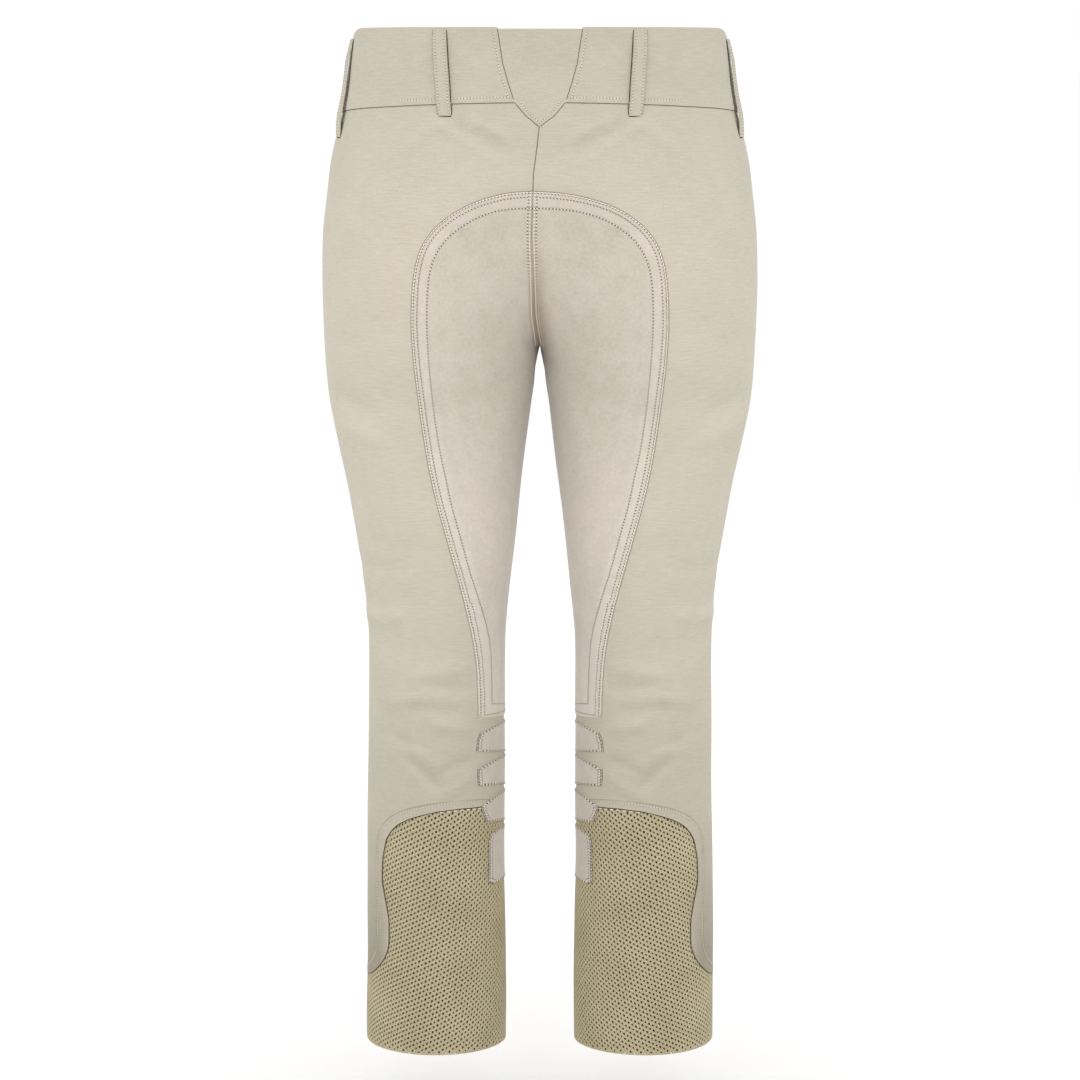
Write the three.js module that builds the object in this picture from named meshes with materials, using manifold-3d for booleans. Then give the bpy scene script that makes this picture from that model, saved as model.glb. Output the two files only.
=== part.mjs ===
// Full-seat riding breeches, hollow, standing as they are worn, in millimetres with +Z up.
// The origin is the centre of the waistband. The back of the garment faces -Y and the wearer's left is -X.
// Every shape is made for the half with x > 0, and the other half is its mirror image.

import * as THREE from 'three';
import { mergeVertices } from 'three/addons/utils/BufferGeometryUtils.js';
import Module from 'manifold-3d';

const wasm = await Module();
wasm.setup();

// Cloth walls, and the clearance between two pieces that are sewn together
const CLOTH = 1.5;
const PATCH = 1.0;
const BAND = 3.0;
const BAND_PROUD = 1.2;
const LOOP = 1.6;
const GAP = 0.3;

// Where the legs part, and where the side seam runs round a half: 0 centre back, 0.5 outer side, 1 centre front
const CROTCH = -262;
const SIDE_SEAM = 0.52;

// How strongly the cloth's lengthwise lines keep to the side seam above the crotch
const STEADY = 6;

// A length beyond the garment on every side
const REACH = 1100;

// Horizontal sections of the cloth: half widths of one half garment, and its depths at the back and front
const SECTIONS = [
  { z: 44, side: 171, inseam: 0, back: -94, front: 91 },
  { z: 27, side: 173.5, inseam: 0, back: -98, front: 94 },
  { z: 7, side: 176.5, inseam: 0, back: -102, front: 97 },
  { z: -18, side: 180, inseam: 0, back: -107, front: 100 },
  { z: -38, side: 184.3, inseam: 0, back: -112, front: 103 },
  { z: -62, side: 190.5, inseam: 0, back: -118, front: 106 },
  { z: -86, side: 195.8, inseam: 0, back: -125, front: 109 },
  { z: -115, side: 199.5, inseam: 0, back: -133, front: 111 },
  { z: -150, side: 203.2, inseam: 0, back: -141, front: 112 },
  { z: -190, side: 204.2, inseam: 0, back: -145, front: 112 },
  { z: -225, side: 204, inseam: 0, back: -141, front: 109 },
  { z: -262, side: 203, inseam: 0, back: -131, front: 104 },
  { z: -290, side: 201.5, inseam: 4.6, back: -121, front: 99 },
  { z: -313, side: 199.4, inseam: 8, back: -113, front: 95 },
  { z: -352, side: 192.2, inseam: 12.9, back: -103, front: 90 },
  { z: -390, side: 184.1, inseam: 17.4, back: -95, front: 86 },
  { z: -429, side: 177.5, inseam: 21.9, back: -88, front: 82 },
  { z: -468, side: 171.7, inseam: 26.3, back: -81, front: 79 },
  { z: -507, side: 167.1, inseam: 30.3, back: -75, front: 76 },
  { z: -546, side: 165.6, inseam: 33.2, back: -70, front: 74 },
  { z: -605, side: 166.1, inseam: 33.5, back: -66, front: 70 },
  { z: -655, side: 166.5, inseam: 33.6, back: -70, front: 64 },
  { z: -705, side: 167, inseam: 33.7, back: -75, front: 59 },
  { z: -760, side: 168, inseam: 33.8, back: -77, front: 55 },
  { z: -805, side: 168.6, inseam: 32.6, back: -75, front: 53 },
  { z: -860, side: 169, inseam: 32.1, back: -70, front: 52 },
  { z: -907, side: 169.8, inseam: 31.9, back: -65, front: 52 },
  { z: -946, side: 170, inseam: 32.2, back: -62, front: 53 },
];

// How each side of the seat closes between the legs: the height it takes, its curve, and its rounding
const FORK = {
  back: { height: 262, power: 1.6, round: 45, settle: 60 },
  front: { height: 185, power: 1.05, round: 30, settle: 60 },
};

// Upper and lower edge of the waistband, and the hem, round a half
const EDGES = [
  { u: 0, bandTop: 36, bandBottom: -32.5, hem: -941.5 },
  { u: 0.25, bandTop: 36, bandBottom: -34, hem: -942.2 },
  { u: 0.4, bandTop: 36, bandBottom: -37, hem: -941.4 },
  { u: 0.455, bandTop: 35, bandBottom: -39, hem: -940.5 },
  { u: 0.5, bandTop: 29.5, bandBottom: -41.5, hem: -939.5 },
  { u: 0.56, bandTop: 22, bandBottom: -46, hem: -939 },
  { u: 0.7, bandTop: 11, bandBottom: -55, hem: -939.5 },
  { u: 1, bandTop: 3, bandBottom: -64, hem: -941.5 },
];

// Rows of the cloth: the first ones follow the waistband, the last one is the hem
const LEVELS = [
  { z: -33, share: 1 }, { z: -56, share: 0.6 }, { z: -82, share: 0.25 }, { z: -108, share: 0 },
  { z: -138, share: 0 }, { z: -170, share: 0 }, { z: -202, share: 0 }, { z: -228, share: 0 },
  { z: -245, share: 0 }, { z: -255, share: 0 }, { z: CROTCH, share: 0 }, { z: -270, share: 0 },
  { z: -286, share: 0 }, { z: -312, share: 0 }, { z: -346, share: 0 }, { z: -386, share: 0 },
  { z: -428, share: 0 }, { z: -470, share: 0 }, { z: -512, share: 0 }, { z: -554, share: 0 },
  { z: -598, share: 0 }, { z: -640, share: 0 }, { z: -680, share: 0 }, { z: -722, share: 0 },
  { z: -768, share: 0 }, { z: -820, share: 0 }, { z: -880, share: 0 }, { z: -942, share: 0 },
];
const SEAT_ROWS = { first: 3, last: 21 };
const GRIP_ROWS = { first: 20, last: 25 };
const PLACKET_ROWS = { first: 1, last: 8 };

// Columns of the back and the front, with a narrow one at the middle; the patches wrap on past the inseam
const BACK_COLUMNS = 11;
const FRONT_COLUMNS = 10;
const EDGE_COLUMN = 0.25;
const WRAP_COLUMNS = 2;
const PLACKET_COLUMNS = 6;

// Outer edge of the full seat, from the centre-back seam down to the inseam
const SEAT_EDGE = [
  { x: 0, z: -110.5 }, { x: 27, z: -111.7 }, { x: 57.7, z: -119.4 }, { x: 80.4, z: -130.6 },
  { x: 100, z: -147 }, { x: 110.4, z: -166.4 }, { x: 114.6, z: -190 }, { x: 116.5, z: -230 },
  { x: 114.6, z: -266 }, { x: 110, z: -312 }, { x: 103.8, z: -359 }, { x: 97.1, z: -394 },
  { x: 84.8, z: -442 }, { x: 72.6, z: -490 }, { x: 64.3, z: -530 }, { x: 60.7, z: -555 },
  { x: 58.7, z: -594 }, { x: 58.7, z: -611.3 }, { x: 34.3, z: -619.6 },
];

// Corners of the four grips on each calf, from the inseam out and back
const GRIPS = [
  { name: 1, corners: [[20, -625], [33.5, -626.1], [56.6, -626.9], [60.2, -644], [33.6, -655.3], [20, -656]] },
  { name: 2, corners: [[20, -658], [33.5, -659], [59.1, -660.7], [58.5, -677.2], [33.5, -686.7], [20, -688]] },
  { name: 3, corners: [[20, -692], [33.8, -692.9], [56, -696.5], [50.5, -713.6], [33.7, -721.8], [20, -723]] },
  {
    name: 4,
    corners: [[20, -726.5], [34.1, -727.4], [47.4, -727.1], [49.1, -732], [49.6, -772.2], [44.7, -776],
      [33.9, -777.8], [20, -778.5]],
  },
];

// Where the twill ends over the calf tube, from the inseam round to the tongue at the outer side
const CALF_EDGE = [
  { x: 15, z: -706 }, { x: 33.9, z: -703 }, { x: 54.9, z: -697.1 }, { x: 75.1, z: -695.8 },
  { x: 96.5, z: -697.2 }, { x: 113.1, z: -701.3 }, { x: 126, z: -706.1 }, { x: 136.5, z: -712.6 },
  { x: 143.1, z: -720 }, { x: 147.9, z: -729.4 }, { x: 151.6, z: -748.4 }, { x: 152.4, z: -771.2 },
  { x: 148.6, z: -789.5 }, { x: 145.2, z: -808.1 }, { x: 145.5, z: -835 }, { x: 150.9, z: -850.2 },
  { x: 161, z: -865.1 }, { x: 169, z: -874 }, { x: 190, z: -878 },
];

// Half width of the yoke between the waistbands, down to its tip; its region reaches above the bands
const BAND_ABOVE = 30;
const YOKE = [
  { z: 34.5, half: 38.8 }, { z: 25, half: 37.3 }, { z: 3.4, half: 34 }, { z: -13.9, half: 29.1 },
  { z: -30.6, half: 23.6 }, { z: -43, half: 13.3 }, { z: -52.7, half: 0.6 },
];

// Belt loops: where the middle of each one starts and ends
const LOOP_WIDTH = 14;
const LOOP_STAND_OFF = 2.4;
const LOOP_RISE = 1.5;
const LOOP_STEPS = 10;
const LOOP_LEAVES_BAND = 0.8;
const LOOPS = [
  { name: 'back', face: 'back', topX: 90.5, topZ: 34, bottomX: 85.8, bottomZ: -43.5 },
  { name: 'side', face: 'back', topX: 173, topZ: 26, bottomX: 187, bottomZ: -64 },
  { name: 'front', face: 'front', topX: 86, topZ: 8, bottomX: 90, bottomZ: -68 },
];

// Fly placket, the tab of the band over the centre front, and its button
const PLACKET = { width: 38, top: -66, bottom: -196, curve: 30 };
const TAB = { reach: 24, thick: 2.4, margin: 3 };
const BUTTON = { radius: 8.5, rim: 1, thick: 3.2, z: -28, off: 0.55 };

// Finishes
const TWILL = new THREE.MeshStandardMaterial({ color: 0xcfc6b2, roughness: 0.9, metalness: 0 });
const SUEDE = new THREE.MeshStandardMaterial({ color: 0xcbc1b1, roughness: 0.96, metalness: 0 });
const PERFORATED = new THREE.MeshStandardMaterial({ color: 0xb0a488, roughness: 0.88, metalness: 0 });
const HORN = new THREE.MeshStandardMaterial({ color: 0x9a8a6c, roughness: 0.4, metalness: 0 });

// A smooth curve through one column of a table, read against another column.
function along(table, key, column, at) {
  const rows = [...table].sort((a, b) => a[key] - b[key]);
  const last = rows.length - 1;
  const x = Math.min(Math.max(at, rows[0][key]), rows[last][key]);
  let i = 0;
  while (i < last - 1 && rows[i + 1][key] < x) i += 1;
  const slope = (k) => {
    const before = rows[Math.max(k - 1, 0)];
    const after = rows[Math.min(k + 1, last)];
    return (after[column] - before[column]) / (after[key] - before[key]);
  };
  const step = rows[i + 1][key] - rows[i][key];
  const t = (x - rows[i][key]) / step;
  return (
    rows[i][column] * (1 + 2 * t) * (1 - t) ** 2 +
    rows[i + 1][column] * t * t * (3 - 2 * t) +
    step * slope(i) * t * (1 - t) ** 2 -
    step * slope(i + 1) * t * t * (1 - t)
  );
}

// The section of one half at a height: side, inseam, back and front.
function section(z) {
  const below = CROTCH - z;
  const row = { inseam: 0 };
  for (const column of ['side', 'back', 'front']) row[column] = along(SECTIONS, 'z', column, z);
  if (below > 0) {
    const roomForPatch = (PATCH + GAP) * (1 - Math.exp(-below / 4));
    row.inseam = Math.max(along(SECTIONS, 'z', 'inseam', z), 0) + roomForPatch;
  }
  return row;
}

// Centre, half width, closing angle and rounding of the back or the front of a section.
function arc(z, face) {
  const { side, inseam } = section(z);
  if (z <= CROTCH) return { centre: (side + inseam) / 2, half: (side - inseam) / 2, most: Math.PI, round: 0 };
  const above = z - CROTCH;
  const fork = FORK[face];
  const share = Math.max(1 - above / fork.height, 0) ** fork.power;
  const round = (fork.round * above) / (above + fork.settle);
  const reach = Math.hypot(side, round);
  const centre = (share * reach + round) / (1 + share);
  return { centre, half: reach - centre, most: Math.acos(-share), round };
}

// How far a section has turned at a share of its way from the side seam to the middle.
// The places near the side keep theirs, so that the cloth's lengthwise lines run straight past the crotch.
function turned(share, most) {
  const missing = Math.PI - most;
  const power = Math.min(STEADY, (0.9 * Math.PI) / Math.max(missing, 0.01));
  return Math.PI * share - missing * share ** power;
}

// A point of the cloth: u runs round a half, and below 0 it goes on past the inseam to the front.
function surface(u, z) {
  const { back, front } = section(z);
  const face = u <= 0.5 ? 'back' : 'front';
  const { centre, half, most, round } = arc(z, face);
  const turn = turned(Math.abs(1 - 2 * u), most);
  const flat = centre + half * Math.cos(turn);
  const x = Math.sqrt(Math.max(flat ** 2 - round ** 2, 0));
  const depth = ((front - back) / 2) * Math.sin(turn);
  const y = (front + back) / 2 + (face === 'back' ? -depth : depth);
  return new THREE.Vector3(x, y, z);
}

// The place round a half whose point has a given x, found by halving.
function placeAt(x, z, face = 'back') {
  const { centre, half, most, round } = arc(z, face);
  const cosine = (Math.hypot(x, round) - centre) / half;
  const turn = Math.acos(Math.min(Math.max(cosine, -1), 1));
  let near = 0;
  let far = 1;
  for (let k = 0; k < 40; k += 1) {
    const middle = (near + far) / 2;
    if (turned(middle, most) < turn) near = middle;
    else far = middle;
  }
  return face === 'back' ? (1 - near) / 2 : (1 + near) / 2;
}

// The cloth's outward direction at a point.
function outward(u, z) {
  const du = 0.002;
  const dz = 0.5;
  const legs = z <= CROTCH;
  const from = legs ? u - du : Math.max(u - du, 0);
  const to = legs ? u + du : Math.min(u + du, 1);
  const round = surface(to, z).sub(surface(from, z));
  const up = surface(u, z + dz).sub(surface(u, z - dz));
  const normal = round.cross(up).normalize();
  if (!legs && (u <= 0 || u >= 1)) normal.setX(0).normalize();
  return normal;
}

// A point of the cloth moved out by a lift.
function lifted(u, z, lift) {
  return surface(u, z).addScaledVector(outward(u, z), lift);
}

// A seam's place round a half, moved along the cloth by a few tenths of a millimetre.
function shifted(u, z, distance) {
  if (z > CROTCH && u <= 0) return placeAt(distance, z, 'back');
  if (z > CROTCH && u >= 1) return placeAt(-distance, z, 'front');
  const du = 0.001;
  const forward = u < 0.5 ? 1 : -1;
  const stretch = surface(u, z).distanceTo(surface(u + forward * du, z)) / du;
  return u + distance / Math.max(stretch, 1);
}

// Columns of the cloth between two seams, closer beside the first and the last one.
function columns(start, end, count) {
  const inner = [];
  for (let k = 1; k < count; k += 1) inner.push(start + ((end - start) * k) / count);
  return inner;
}
const STEP_BACK = SIDE_SEAM / BACK_COLUMNS;
const STEP_FRONT = (1 - SIDE_SEAM) / FRONT_COLUMNS;
const BACK_U = [0, EDGE_COLUMN * STEP_BACK, ...columns(0, SIDE_SEAM, BACK_COLUMNS), SIDE_SEAM];
const FRONT_U = [SIDE_SEAM, ...columns(SIDE_SEAM, 1, FRONT_COLUMNS), 1 - EDGE_COLUMN * STEP_FRONT, 1];
const WRAP_U = FRONT_U.slice(-2 - WRAP_COLUMNS, -1).map((u) => u - 1);

// The height of a row at a place round a half.
function rowHeight(row, u) {
  const place = u < 0 ? u + 1 : u;
  const { z, share } = LEVELS[row];
  if (row === LEVELS.length - 1) return along(EDGES, 'u', 'hem', place);
  const top = along(EDGES, 'u', 'bandBottom', place) - GAP;
  return z + share * (top - LEVELS[0].z);
}

// A closed solid from a flat list of points and triangles.
function solid(points, triangles) {
  const vertProperties = new Float32Array(points.flatMap((p) => [p.x, p.y, p.z]));
  return new wasm.Manifold(new wasm.Mesh({ numProp: 3, vertProperties, triVerts: new Uint32Array(triangles) }));
}

// A wall from rows of outer and inner points: has(i, j) says which cells of the grid it covers.
function wall(outer, inner, has = () => true) {
  const rows = outer.length;
  const width = outer[0].length;
  const points = [...outer.flat(), ...inner.flat()];
  const offset = rows * width;
  const covers = (i, j) => i >= 0 && j >= 0 && i < rows - 1 && j < width - 1 && has(i, j);
  const triangles = [];
  const quad = (a, b, c, d) => triangles.push(a, b, c, a, c, d);
  for (let i = 0; i < rows - 1; i += 1) {
    for (let j = 0; j < width - 1; j += 1) {
      if (!covers(i, j)) continue;
      const a = i * width + j;
      const b = a + 1;
      const c = b + width;
      const d = a + width;
      quad(a, d, c, b);
      triangles.push(a + offset, c + offset, d + offset, a + offset, b + offset, c + offset);
      if (!covers(i - 1, j)) quad(a, b, b + offset, a + offset);
      if (!covers(i + 1, j)) quad(c, d, d + offset, c + offset);
      if (!covers(i, j - 1)) quad(d, a, a + offset, d + offset);
      if (!covers(i, j + 1)) quad(b, c, c + offset, b + offset);
    }
  }
  return solid(points, triangles);
}

// Cloth over rows and columns of the half garment, between two lifts, clear of its two seams.
function cloth({ places, first, last, lift, thick, has, seams = true }) {
  const layer = (offset) => {
    const rows = [];
    for (let row = first; row <= last; row += 1) {
      rows.push(
        places.map((u, column) => {
          const z = rowHeight(row, u);
          const legs = z <= CROTCH;
          const place = legs ? u : Math.max(u, 0);
          if (seams && column === 0) return lifted(shifted(place, z, GAP / 2), z, offset);
          if (seams && column === places.length - 1) return lifted(shifted(place, z, -GAP / 2), z, offset);
          return lifted(place, z, offset);
        }),
      );
    }
    return rows;
  };
  return wall(layer(lift), layer(lift - thick), has);
}

// Turns an outline of x and z into a bar along Y, between two depths.
function bar(outline, near = -REACH, far = REACH) {
  const shape = new THREE.Shape(outline.map(([x, z]) => new THREE.Vector2(x, z)));
  const geometry = new THREE.ExtrudeGeometry(shape, { depth: far - near, bevelEnabled: false, steps: 1 });
  geometry.rotateX(Math.PI / 2).translate(0, far, 0);
  geometry.deleteAttribute('normal').deleteAttribute('uv');
  const merged = mergeVertices(geometry, 1e-4);
  return new wasm.Manifold(
    new wasm.Mesh({
      numProp: 3,
      vertProperties: merged.attributes.position.array,
      triVerts: new Uint32Array(merged.index.array),
    }),
  );
}

// Points of a table's outline, moved sideways: to the left of its direction for a positive distance.
function edge(table, distance = 0) {
  return table.map((point, k) => {
    const before = table[Math.max(k - 1, 0)];
    const after = table[Math.min(k + 1, table.length - 1)];
    const length = Math.hypot(after.x - before.x, after.z - before.z);
    return [
      point.x - (distance * (after.z - before.z)) / length,
      point.z + (distance * (after.x - before.x)) / length,
    ];
  });
}

// Everything on this half's side of the middle plane
const HALF = bar([[GAP / 2, -REACH], [REACH, -REACH], [REACH, REACH], [GAP / 2, REACH]]);

// The region of the calf tube, and the region of the seat
function calfRegion(distance) {
  const [inner, outer] = [CALF_EDGE[0].x, CALF_EDGE[CALF_EDGE.length - 1].x];
  return bar([...edge(CALF_EDGE, distance), [outer, -REACH], [inner, -REACH]].reverse());
}
const seatInner = -10;
const seatRegion = bar([[seatInner, -620.5], ...edge(SEAT_EDGE).reverse(), [seatInner, SEAT_EDGE[0].z]]);

// The region of the yoke: both of its seams and its tip
function yokeRegion(grow) {
  const right = YOKE.map(({ z, half }) => ({ x: half, z }));
  const outline = edge(right, grow).map(([x, z]) => [Math.max(x, 0.05), z]);
  outline[0][1] += BAND_ABOVE;
  const left = outline.map(([x, z]) => [-x, z]).reverse();
  return bar([...outline, ...left].reverse(), -REACH, 0);
}

// The main panels and the calf tube of a half
function panels() {
  const last = LEVELS.length - 1;
  const back = cloth({ places: BACK_U, first: 0, last, lift: 0, thick: CLOTH });
  const front = cloth({ places: FRONT_U, first: 0, last, lift: 0, thick: CLOTH });
  const twill = calfRegion(GAP / 2);
  const calfTop = GRIP_ROWS.first;
  const round = [...BACK_U.slice(0, -1), ...FRONT_U.slice(0, -1)];
  return {
    back: back.subtract(twill).subtract(yokeRegion(GAP / 2)).intersect(HALF),
    front: front.subtract(twill).intersect(HALF),
    calf: tube(round, calfTop, last).intersect(calfRegion(-GAP / 2)),
  };
}

// The perforated tube, closed round the leg
function tube(places, first, last) {
  const points = [];
  const triangles = [];
  const width = places.length;
  const rows = last - first + 1;
  for (const lift of [0, -CLOTH])
    for (let row = first; row <= last; row += 1)
      for (const u of places) points.push(lifted(u, rowHeight(row, u), lift));
  const inside = rows * width;
  const at = (row, column) => row * width + (column % width);
  for (let j = 0; j < width; j += 1) {
    for (let i = 0; i < rows - 1; i += 1) {
      const [a, b, c, d] = [at(i, j), at(i, j + 1), at(i + 1, j + 1), at(i + 1, j)];
      triangles.push(a, d, c, a, c, b);
      triangles.push(a + inside, c + inside, d + inside, a + inside, b + inside, c + inside);
    }
    const [a, b] = [at(0, j), at(0, j + 1)];
    const [d, c] = [at(rows - 1, j), at(rows - 1, j + 1)];
    triangles.push(a, b, b + inside, a, b + inside, a + inside);
    triangles.push(c, d, d + inside, c, d + inside, c + inside);
  }
  return solid(points, triangles);
}

// The full seat and the grips lie on the panels: the panels' own points moved out
function overlay(first, last) {
  const places = [...WRAP_U, ...BACK_U];
  const has = (i, j) => j >= WRAP_U.length || LEVELS[first + i].z <= CROTCH;
  return cloth({ places, first, last, lift: GAP + PATCH, thick: PATCH, has, seams: false });
}
function seat() {
  return overlay(SEAT_ROWS.first, SEAT_ROWS.last).intersect(seatRegion).intersect(HALF);
}
function grips() {
  const skin = overlay(GRIP_ROWS.first, GRIP_ROWS.last);
  return GRIPS.map(({ name, corners }) => ({ name, shape: skin.intersect(bar(corners)) }));
}

// The waistband from its lower edge to its upper one
function band(places) {
  const levels = [0, 0.5, 1];
  const layer = (lift) =>
    levels.map((level) =>
      places.map((u, column) => {
        const bottom = along(EDGES, 'u', 'bandBottom', u);
        const z = bottom + (1 - level) * (along(EDGES, 'u', 'bandTop', u) - bottom);
        if (column === 0) return lifted(shifted(u, z, GAP / 2), z, lift);
        if (column === places.length - 1) return lifted(shifted(u, z, -GAP / 2), z, lift);
        return lifted(u, z, lift);
      }),
    );
  return wall(layer(BAND_PROUD), layer(BAND_PROUD - BAND)).intersect(HALF);
}

// The yoke between the bands, as a sheet over x and z cut to its outline
function yoke() {
  const across = [-44, -33, -22, -11, 0, 11, 22, 33, 44];
  const down = [34.5, 20, 5, -10, -25, -40, -56];
  const layer = (lift) =>
    down.map((z) =>
      across.map((x) => {
        const point = lifted(placeAt(Math.abs(x), z), z, lift);
        return x < 0 ? point.setX(-point.x) : point;
      }),
    );
  return wall(layer(BAND_PROUD), layer(BAND_PROUD - BAND)).intersect(yokeRegion(-GAP / 2));
}

// A belt loop: a strip that leaves the band between its two ends
function beltLoop({ face, topX, topZ, bottomX, bottomZ }) {
  const halfWidth = LOOP_WIDTH / 2;
  const topU = placeAt(topX, topZ, face);
  const bottomU = placeAt(bottomX, bottomZ, face);
  const layer = (extra) => {
    const rows = [];
    for (let k = 0; k <= LOOP_STEPS; k += 1) {
      const t = k / LOOP_STEPS;
      const u = topU + (bottomU - topU) * t;
      const z = topZ + (bottomZ - topZ) * t;
      const bow = GAP + (LOOP_STAND_OFF - GAP) * Math.min(1, LOOP_RISE * Math.sin(Math.PI * t));
      const offBand = Math.min(1, Math.max(0, (t - LOOP_LEAVES_BAND) / (1 - LOOP_LEAVES_BAND)));
      const middle = lifted(u, z, BAND_PROUD * (1 - offBand) + bow + extra);
      const across = outward(u, z).cross(new THREE.Vector3(0, 0, 1)).normalize();
      rows.push([middle.clone().addScaledVector(across, halfWidth), middle.clone().addScaledVector(across, -halfWidth)]);
    }
    return rows;
  };
  return wall(layer(LOOP), layer(0));
}

// The placket lies on the front panel beside the centre front, with a curved foot
function placket() {
  const { width, top, bottom, curve } = PLACKET;
  const places = FRONT_U.slice(PLACKET_COLUMNS);
  const skin = cloth({ places, ...PLACKET_ROWS, lift: GAP + PATCH, thick: PATCH, seams: false });
  const outline = [[GAP, top], [width, top], [width, bottom + curve]];
  for (let k = 1; k <= 5; k += 1) {
    const turn = (k / 5) * (Math.PI / 2);
    outline.push([width - (width - GAP) * (1 - Math.cos(turn)), bottom + curve - curve * Math.sin(turn)]);
  }
  return skin.intersect(bar(outline.reverse(), 0, REACH));
}

// The end of one band over the other at the centre front
function tab() {
  const across = [-TAB.reach, -TAB.reach / 2, 0, TAB.reach / 2, TAB.reach];
  const layer = (lift) =>
    [0, 0.5, 1].map((level) =>
      across.map((x) => {
        const bottom = along(EDGES, 'u', 'bandBottom', 1) + TAB.margin;
        const z = bottom + (1 - level) * (along(EDGES, 'u', 'bandTop', 1) - TAB.margin - bottom);
        const point = lifted(placeAt(Math.abs(x), z, 'front'), z, lift);
        return x > 0 ? point.setX(-point.x) : point;
      }),
    );
  const lift = BAND_PROUD + GAP;
  return wall(layer(lift + TAB.thick), layer(lift));
}

// A plain round button on the tab
function button() {
  const { radius, rim, thick } = BUTTON;
  const profile = [[0, 0], [radius - rim, 0], [radius, rim], [radius, thick - rim], [radius - rim, thick], [0, thick]];
  return new THREE.LatheGeometry(profile.map(([r, h]) => new THREE.Vector2(r, h)), 24);
}

const breeches = new THREE.Group();

// Adds a solid as a named mesh, mirrored for the wearer's left.
function addSolid(name, shape, material, mirrored = false) {
  const { vertProperties, triVerts } = shape.getMesh();
  const position = Float32Array.from(vertProperties);
  const index = Array.from(triVerts);
  if (mirrored) {
    for (let k = 0; k < position.length; k += 3) position[k] = -position[k];
    for (let k = 0; k < index.length; k += 3) [index[k + 1], index[k + 2]] = [index[k + 2], index[k + 1]];
  }
  const geometry = new THREE.BufferGeometry();
  geometry.setAttribute('position', new THREE.BufferAttribute(position, 3));
  geometry.setIndex(index);
  geometry.computeVertexNormals();
  const mesh = new THREE.Mesh(geometry, material);
  mesh.name = name;
  breeches.add(mesh);
}

// Adds a piece to both halves.
function addPair(name, shape, material) {
  addSolid(`${name}_right`, shape, material);
  addSolid(`${name}_left`, shape, material, true);
}

const { back, front, calf } = panels();
addPair('back', back, TWILL);
addPair('front', front, TWILL);
addPair('calf', calf, PERFORATED);
addPair('seat', seat(), SUEDE);
for (const { name, shape } of grips()) addPair(`grip_${name}`, shape, SUEDE);
addPair('band_back', band(BACK_U).subtract(yokeRegion(GAP / 2)), TWILL);
addPair('band_front', band(FRONT_U), TWILL);
addSolid('yoke_back', yoke(), TWILL);
for (const loop of LOOPS) addPair(`loop_${loop.name}`, beltLoop(loop), TWILL);
addSolid('fly_placket', placket(), TWILL, true);
addSolid('band_tab', tab(), TWILL);

const fastener = new THREE.Mesh(button(), HORN);
const seatOfButton = lifted(placeAt(0, BUTTON.z, 'front'), BUTTON.z, BAND_PROUD + GAP + TAB.thick + BUTTON.off);
fastener.position.copy(seatOfButton);
fastener.quaternion.setFromUnitVectors(new THREE.Vector3(0, 1, 0), outward(1, BUTTON.z));
fastener.name = 'band_button';
breeches.add(fastener);

export default breeches;
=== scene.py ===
"""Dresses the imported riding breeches: cloth panels, overlays, bands, loops, mesh and stitches.

Lengths are millimetres in the frame of the CAD part and become metres in make_piece. A place on the
cloth is (u, z): u runs round one half of the garment, 0 at the centre back or inseam, 0.5 at the outer
side and 1 at the centre front, and z is the height. Shapes are made for the wearer's right half, x > 0,
and mirrored for the left one.
"""

import logging
import math
from dataclasses import dataclass, field
from enum import Enum

import bpy
import numpy as np
from mathutils import Matrix, Vector


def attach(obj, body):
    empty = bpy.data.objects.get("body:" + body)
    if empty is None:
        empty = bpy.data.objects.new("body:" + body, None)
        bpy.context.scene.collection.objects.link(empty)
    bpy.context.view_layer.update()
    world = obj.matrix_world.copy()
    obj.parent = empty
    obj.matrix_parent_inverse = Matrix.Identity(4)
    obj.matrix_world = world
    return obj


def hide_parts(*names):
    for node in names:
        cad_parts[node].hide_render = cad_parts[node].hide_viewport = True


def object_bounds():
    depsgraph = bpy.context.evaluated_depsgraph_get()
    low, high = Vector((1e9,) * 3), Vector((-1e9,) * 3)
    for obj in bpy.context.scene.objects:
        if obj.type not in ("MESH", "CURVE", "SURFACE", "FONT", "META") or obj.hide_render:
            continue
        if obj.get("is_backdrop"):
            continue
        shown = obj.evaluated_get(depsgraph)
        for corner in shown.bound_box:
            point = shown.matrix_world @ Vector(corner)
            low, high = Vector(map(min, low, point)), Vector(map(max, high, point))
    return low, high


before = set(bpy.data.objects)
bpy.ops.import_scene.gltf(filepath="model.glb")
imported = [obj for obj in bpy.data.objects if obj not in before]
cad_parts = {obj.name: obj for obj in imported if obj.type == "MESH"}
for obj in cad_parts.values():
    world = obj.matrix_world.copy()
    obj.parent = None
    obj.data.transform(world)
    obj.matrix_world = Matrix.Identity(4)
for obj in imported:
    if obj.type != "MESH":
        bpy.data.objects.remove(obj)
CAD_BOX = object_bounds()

LOG = logging.getLogger("breeches")
Array = np.ndarray
Rows = tuple[tuple[float, ...], ...]
Material = bpy.types.Material
Piece = bpy.types.Object
Socket = bpy.types.NodeSocket

MM = 0.001
SIDE_SEAM = 0.52
CLOTH_THICK = 0.9
BAND_PROUD = 1.2
WRAP_U = -0.096
CAMERA_AWAY = 2845.94
CAMERA_PITCH = 8.953


class Face(Enum):
    """The side of the garment that a place is on."""

    BACK = "back"
    FRONT = "front"

    @property
    def middle(self) -> float:
        """The place of the centre seam or of the inseam on this side."""
        return 0.0 if self is Face.BACK else 1.0

    @property
    def outward(self) -> int:
        """1 where u grows towards the outer side, and -1 where it falls."""
        return 1 if self is Face.BACK else -1


class Half(Enum):
    """The wearer's right or left half."""

    RIGHT = 1
    LEFT = -1

    @property
    def label(self) -> str:
        """The half's name as the CAD nodes have it."""
        return self.name.lower()


# Form of the garment

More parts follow.
